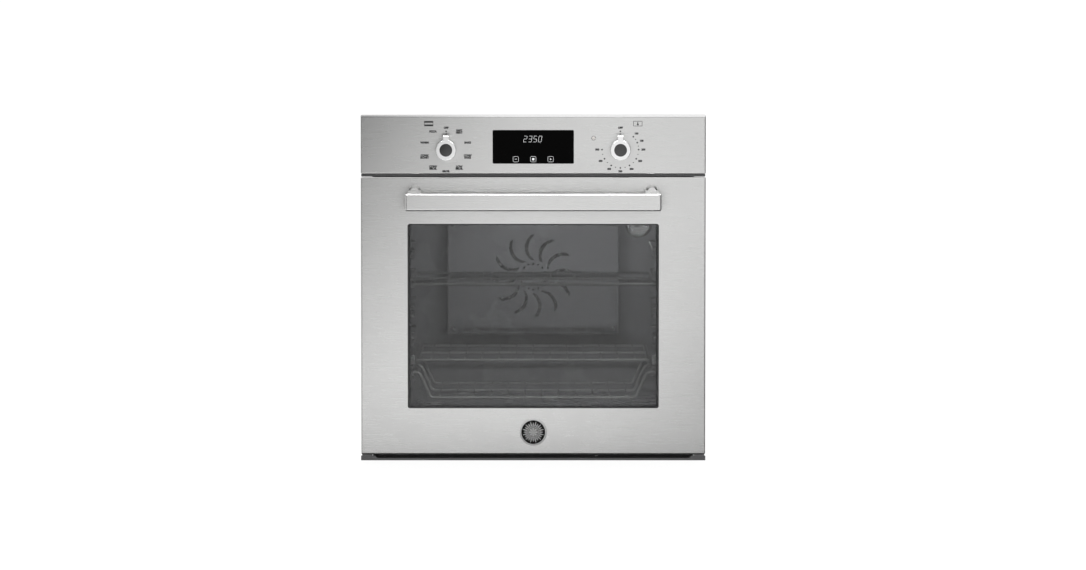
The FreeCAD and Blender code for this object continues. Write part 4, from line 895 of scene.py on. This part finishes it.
def add_bead(shape, x, out, y0, y1, z):
    """A half-round swelling along Y that fades out at both ends; out is the side it points to."""
    half, rise, fade_length, steps, rows_along = 9 * MM, 2.6 * MM, 20 * MM, 10, 24
    rows = []
    for n in range(rows_along + 1):
        y = y0 + (y1 - y0) * n / rows_along
        fade = math.sin(min(min(y - y0, y1 - y) / fade_length, 1.0) * math.pi / 2)
        angles = [math.pi * k / steps for k in range(steps + 1)]
        rows.append([shape.verts.new((x + out * rise * fade * math.sin(angle), y,
                                      z + half * math.cos(angle) * max(fade, 0.05))) for angle in angles])
    for a, b in zip(rows, rows[1:]):
        for k in range(steps):
            shape.faces.new((a[k], a[k + 1], b[k + 1], b[k]))
        shape.faces.new((a[0], b[0], b[steps], a[steps]))
    shape.faces.new(rows[0])
    shape.faces.new(list(reversed(rows[-1])))


def side_beads():
    """Long stiffening beads pressed out of the side panels."""
    low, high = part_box("side_panel_left")
    end_gap = 60 * MM

    def build(shape):
        for x, out in ((low.x, -1), (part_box("side_panel_right")[1].x, 1)):
            for z in (low.z + 90 * MM, low.z + 250 * MM, low.z + 410 * MM):
                add_bead(shape, x, out, low.y + end_gap, high.y - end_gap, z)

    piece("side_panel_beads", build, "galvanised", "cabinet", smooth=True)


# ------------------------------------------------------------------ stage
def build_stage(s):
    """Pale floor and plinth, a white dome, three soft lights, dark cards for the reflections, the camera."""
    middle = Vector((0, FACE_Y, (FASCIA[1].z + DOOR[0].z) / 2))
    floor_and_plinth(s)
    white_world(s)
    soft_lights(s, middle)
    graded_cards(s)
    front_camera(s, middle)


def floor_and_plinth(s):
    paint = floor_paint(s)
    low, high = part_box("base_pan")
    top, edge = -s.plinth_height, 60.0
    for name, box in (
            ("stage_floor", (-edge, edge, top - 0.02, top, -edge, edge)),
            ("stage_plinth", (-high.x - 0.02, high.x + 0.02, top, 0.0, low.y - 0.01, high.y + 0.03))):
        new_object(name, lambda shape: add_bar(shape, *box), paint)


def floor_paint(s):
    """Pale matt paint that the camera sees nearly white, with only a trace of the oven's shade."""
    shader = Shader("floor_paint", tuple(s.floor_color), roughness=0.85)
    tree = shader.tree
    shader.set(Roughness=ranged(tree, noise(tree, Scale=3.0, Detail=3.0), 0.3, 0.7, 0.8, 0.9))
    seen = tree.nodes.new("ShaderNodeLightPath").outputs["Is Camera Ray"]
    glow = new_node(tree, "ShaderNodeEmission", Strength=s.backdrop_strength)
    join_surface(tree, "Material Output", math_node(tree, "MULTIPLY", seen, 0.85), shader.bsdf.outputs[0],
                 glow.outputs[0])
    return shader.material


def white_world(s):
    """White surroundings that light the oven more from overhead; the camera sees one even white."""
    world = bpy.data.worlds.new("white_studio")
    world.use_nodes = True
    bpy.context.scene.world = world
    tree = world.node_tree
    height = new_node(tree, "ShaderNodeSeparateXYZ",
                      Vector=tree.nodes.new("ShaderNodeTexCoord").outputs["Generated"]).outputs["Z"]
    strength = ranged(tree, height, 0.0, 1.0, s.horizon_strength, s.zenith_strength)
    lights = new_node(tree, "ShaderNodeBackground", Color=(1, 1, 1, 1), Strength=strength)
    seen = tree.nodes["Background"]
    seen.inputs["Color"].default_value = (1, 1, 1, 1)
    seen.inputs["Strength"].default_value = s.backdrop_strength
    join_surface(tree, "World Output", tree.nodes.new("ShaderNodeLightPath").outputs["Is Camera Ray"],
                 lights.outputs[0], seen.outputs[0])


def soft_lights(s, middle):
    """A key light in front, a strip over the handle and the knobs, and a glow in the cavity's mouth."""
    area_light("soft_key", s.key_power, (1.3, 1.3), Vector((1.1, -2.6, 1.9)), middle, glossy=False)
    strip = area_light("top_strip", s.top_power, (1.3, 0.35), middle + Vector((0, -0.42, 1.0)),
                       middle + Vector((0, -0.05, 0)))
    lit_by_strip = bpy.data.collections.new("lit_by_top_strip")
    for node in ("handle_bar", "handle_brackets", "function_knob", "temperature_knob"):
        lit_by_strip.objects.link(frame["nodes"][node])
    strip.light_linking.receiver_collection = lit_by_strip
    low, high = LINER
    mouth = Vector((0.06, low.y + 12 * MM, high.z - 50 * MM))
    area_light("cavity_glow", s.cavity_power, (0.34, 0.02), mouth,
               (low + high) / 2 + Vector((0.08, 0.1, -0.03)), glossy=False)


def area_light(name, power, size, place, target, glossy=True):
    light = bpy.data.lights.new(name, "AREA")
    light.energy = power
    light.shape = "RECTANGLE"
    light.size, light.size_y = size
    lamp = bpy.data.objects.new(name, light)
    lamp.location = place
    lamp.rotation_euler = (target - place).to_track_quat("-Z", "Y").to_euler()
    lamp.visible_camera = False
    lamp.visible_glossy = glossy
    bpy.context.scene.collection.objects.link(lamp)
    return lamp


def graded_cards(s):
    """Dark cards that only reflections see: a graded one in front, one on the floor and one on the right."""
    graded = Shader("front_card_cloth", (0.0, 0.0, 0.0), roughness=1.0)
    tree = graded.tree
    graded.set(Specular_IOR_Level=0.0)
    place = new_node(tree, "ShaderNodeSeparateXYZ", Vector=object_place(tree)).outputs

    def along(weight_x, weight_z):
        return math_node(tree, "MULTIPLY_ADD", place["Z"], weight_z,
                         math_node(tree, "MULTIPLY", place["X"], weight_x))

    upper_left = ranged(tree, along(0.9, -0.5), -0.68, -0.35, s.left_card, 0.0)
    lower_right = ranged(tree, along(0.9, -1.0), 0.06, 0.42, 0.0, s.right_card)
    clear = tree.nodes.new("ShaderNodeBsdfTransparent")
    join_surface(tree, "Material Output", math_node(tree, "MAXIMUM", upper_left, lower_right),
                 clear.outputs[0], graded.bsdf.outputs[0])
    cloth = Shader("black_cloth", (0.01, 0.01, 0.01), roughness=1.0).material
    near, far, floor_far = FACE_Y - 12 * MM, FACE_Y - 0.9, FACE_Y - 0.50
    front_x, floor_x, side_x, low, high = 1.6, 0.7, 0.75, -0.07, 1.1
    for name, material, corners in (
            ("front_card", graded.material,
             [(-front_x, far, low), (front_x, far, low), (front_x, far, high), (-front_x, far, high)]),
            ("floor_card", cloth,
             [(-floor_x, floor_far, low), (floor_x, floor_far, low), (floor_x, near, low),
              (-floor_x, near, low)]),
            ("side_card", cloth,
             [(side_x, far, low), (side_x, near, low), (side_x, near, high), (side_x, far, high)])):
        mesh = bpy.data.meshes.new(name)
        mesh.from_pydata(corners, [], [(0, 1, 2, 3)])
        mesh.materials.append(material)
        made = bpy.data.objects.new(name, mesh)
        for kind in ("camera", "diffuse", "transmission", "volume_scatter", "shadow"):
            setattr(made, "visible_" + kind, False)
        bpy.context.scene.collection.objects.link(made)


def front_camera(s, middle):
    """A long lens that looks down a little at the front's middle."""
    scene = bpy.context.scene
    camera = bpy.data.cameras.new("front_camera")
    camera.sensor_width = 36.0
    camera.lens = camera.sensor_width * s.camera_distance / s.frame_width
    camera.clip_end = 200.0
    camera.shift_x = 0.009
    eye = bpy.data.objects.new("front_camera", camera)
    back = Vector((0, -math.cos(s.camera_pitch), math.sin(s.camera_pitch)))
    eye.location = middle + back * s.camera_distance
    eye.rotation_euler = (math.pi / 2 - s.camera_pitch, 0, 0)
    scene.collection.objects.link(eye)
    scene.camera = eye
    scene.view_settings.view_transform = "Standard"


# ------------------------------------------------------------------ operators
class OVEN_OT_finishes(bpy.types.Operator):
    """Give every part of the oven its finish"""

    bl_idname = "oven.finishes"
    bl_label = "Finishes"

    def execute(self, context):
        dress_nodes()
        return {"FINISHED"}


class OVEN_OT_panel_print(bpy.types.Operator):
    """Print the dials, icons and indicator ring on the control panel, and add the painted highlight and painted
    shadow line along its top and the dark lip over the door's gap
    """

    bl_idname = "oven.panel_print"
    bl_label = "Panel printing"

    def execute(self, context):
        s = context.scene.oven_legend
        print_function_dial(s)
        print_temperature_dial(s)
        print_icons(s)
        print_pilot_ring(s)
        panel_edges()
        return {"FINISHED"}


class OVEN_OT_clock(bpy.types.Operator):
    """Light the clock's digits and the touch keys"""

    bl_idname = "oven.clock"
    bl_label = "Clock"

    def execute(self, context):
        s = context.scene.oven_clock
        light_clock(s)
        light_touch_keys(s)
        return {"FINISHED"}


class OVEN_OT_door_details(bpy.types.Operator):
    """Add the panes' printed borders and the handle's dark end plates, which are painted shade on the bar's
    ends
    """

    bl_idname = "oven.door_details"
    bl_label = "Door details"

    def execute(self, context):
        window_border()
        inner_pane_border()
        handle_ends()
        return {"FINISHED"}


class OVEN_OT_cabinet_details(bpy.types.Operator):
    """Add the baffle's screws, the rails' end caps, the vent's cheeks and the side panels' beads"""

    bl_idname = "oven.cabinet_details"
    bl_label = "Cabinet details"

    def execute(self, context):
        baffle_screws()
        rail_caps()
        vent_cheeks()
        side_beads()
        return {"FINISHED"}


class OVEN_OT_stage(bpy.types.Operator):
    """Set up the floor, lights, cards and camera"""

    bl_idname = "oven.stage"
    bl_label = "Stage"

    def execute(self, context):
        build_stage(context.scene.oven_stage)
        return {"FINISHED"}


class OVEN_PT_looks(bpy.types.Panel):
    """The oven's looks"""

    bl_idname = "OVEN_PT_looks"
    bl_label = "Wall oven"
    bl_space_type = "VIEW_3D"
    bl_region_type = "UI"
    bl_category = "Oven"

    def draw(self, context):
        for group in ("oven_finish", "oven_legend", "oven_clock", "oven_stage"):
            settings = getattr(context.scene, group)
            box = self.layout.box()
            for name in settings.bl_rna.properties.keys():
                if name not in ("rna_type", "name"):
                    box.prop(settings, name)
        for operator in OPERATORS:
            self.layout.operator(operator.bl_idname)


SETTINGS = {"oven_finish": OvenFinishSettings, "oven_legend": OvenLegendSettings,
            "oven_clock": OvenClockSettings, "oven_stage": OvenStageSettings}
OPERATORS = (OVEN_OT_finishes, OVEN_OT_panel_print, OVEN_OT_clock, OVEN_OT_door_details,
             OVEN_OT_cabinet_details, OVEN_OT_stage)


def register():
    for kind in (*SETTINGS.values(), *OPERATORS, OVEN_PT_looks):
        bpy.utils.register_class(kind)
    for name, kind in SETTINGS.items():
        setattr(bpy.types.Scene, name, bpy.props.PointerProperty(type=kind))


def unregister():
    for name in SETTINGS:
        delattr(bpy.types.Scene, name)
    for kind in (OVEN_PT_looks, *reversed(OPERATORS), *SETTINGS.values()):
        bpy.utils.unregister_class(kind)


def main():
    register()
    for operator in OPERATORS:
        category, name = operator.bl_idname.split(".")
        getattr(getattr(bpy.ops, category), name)()


if __name__ == "__main__":
    main()
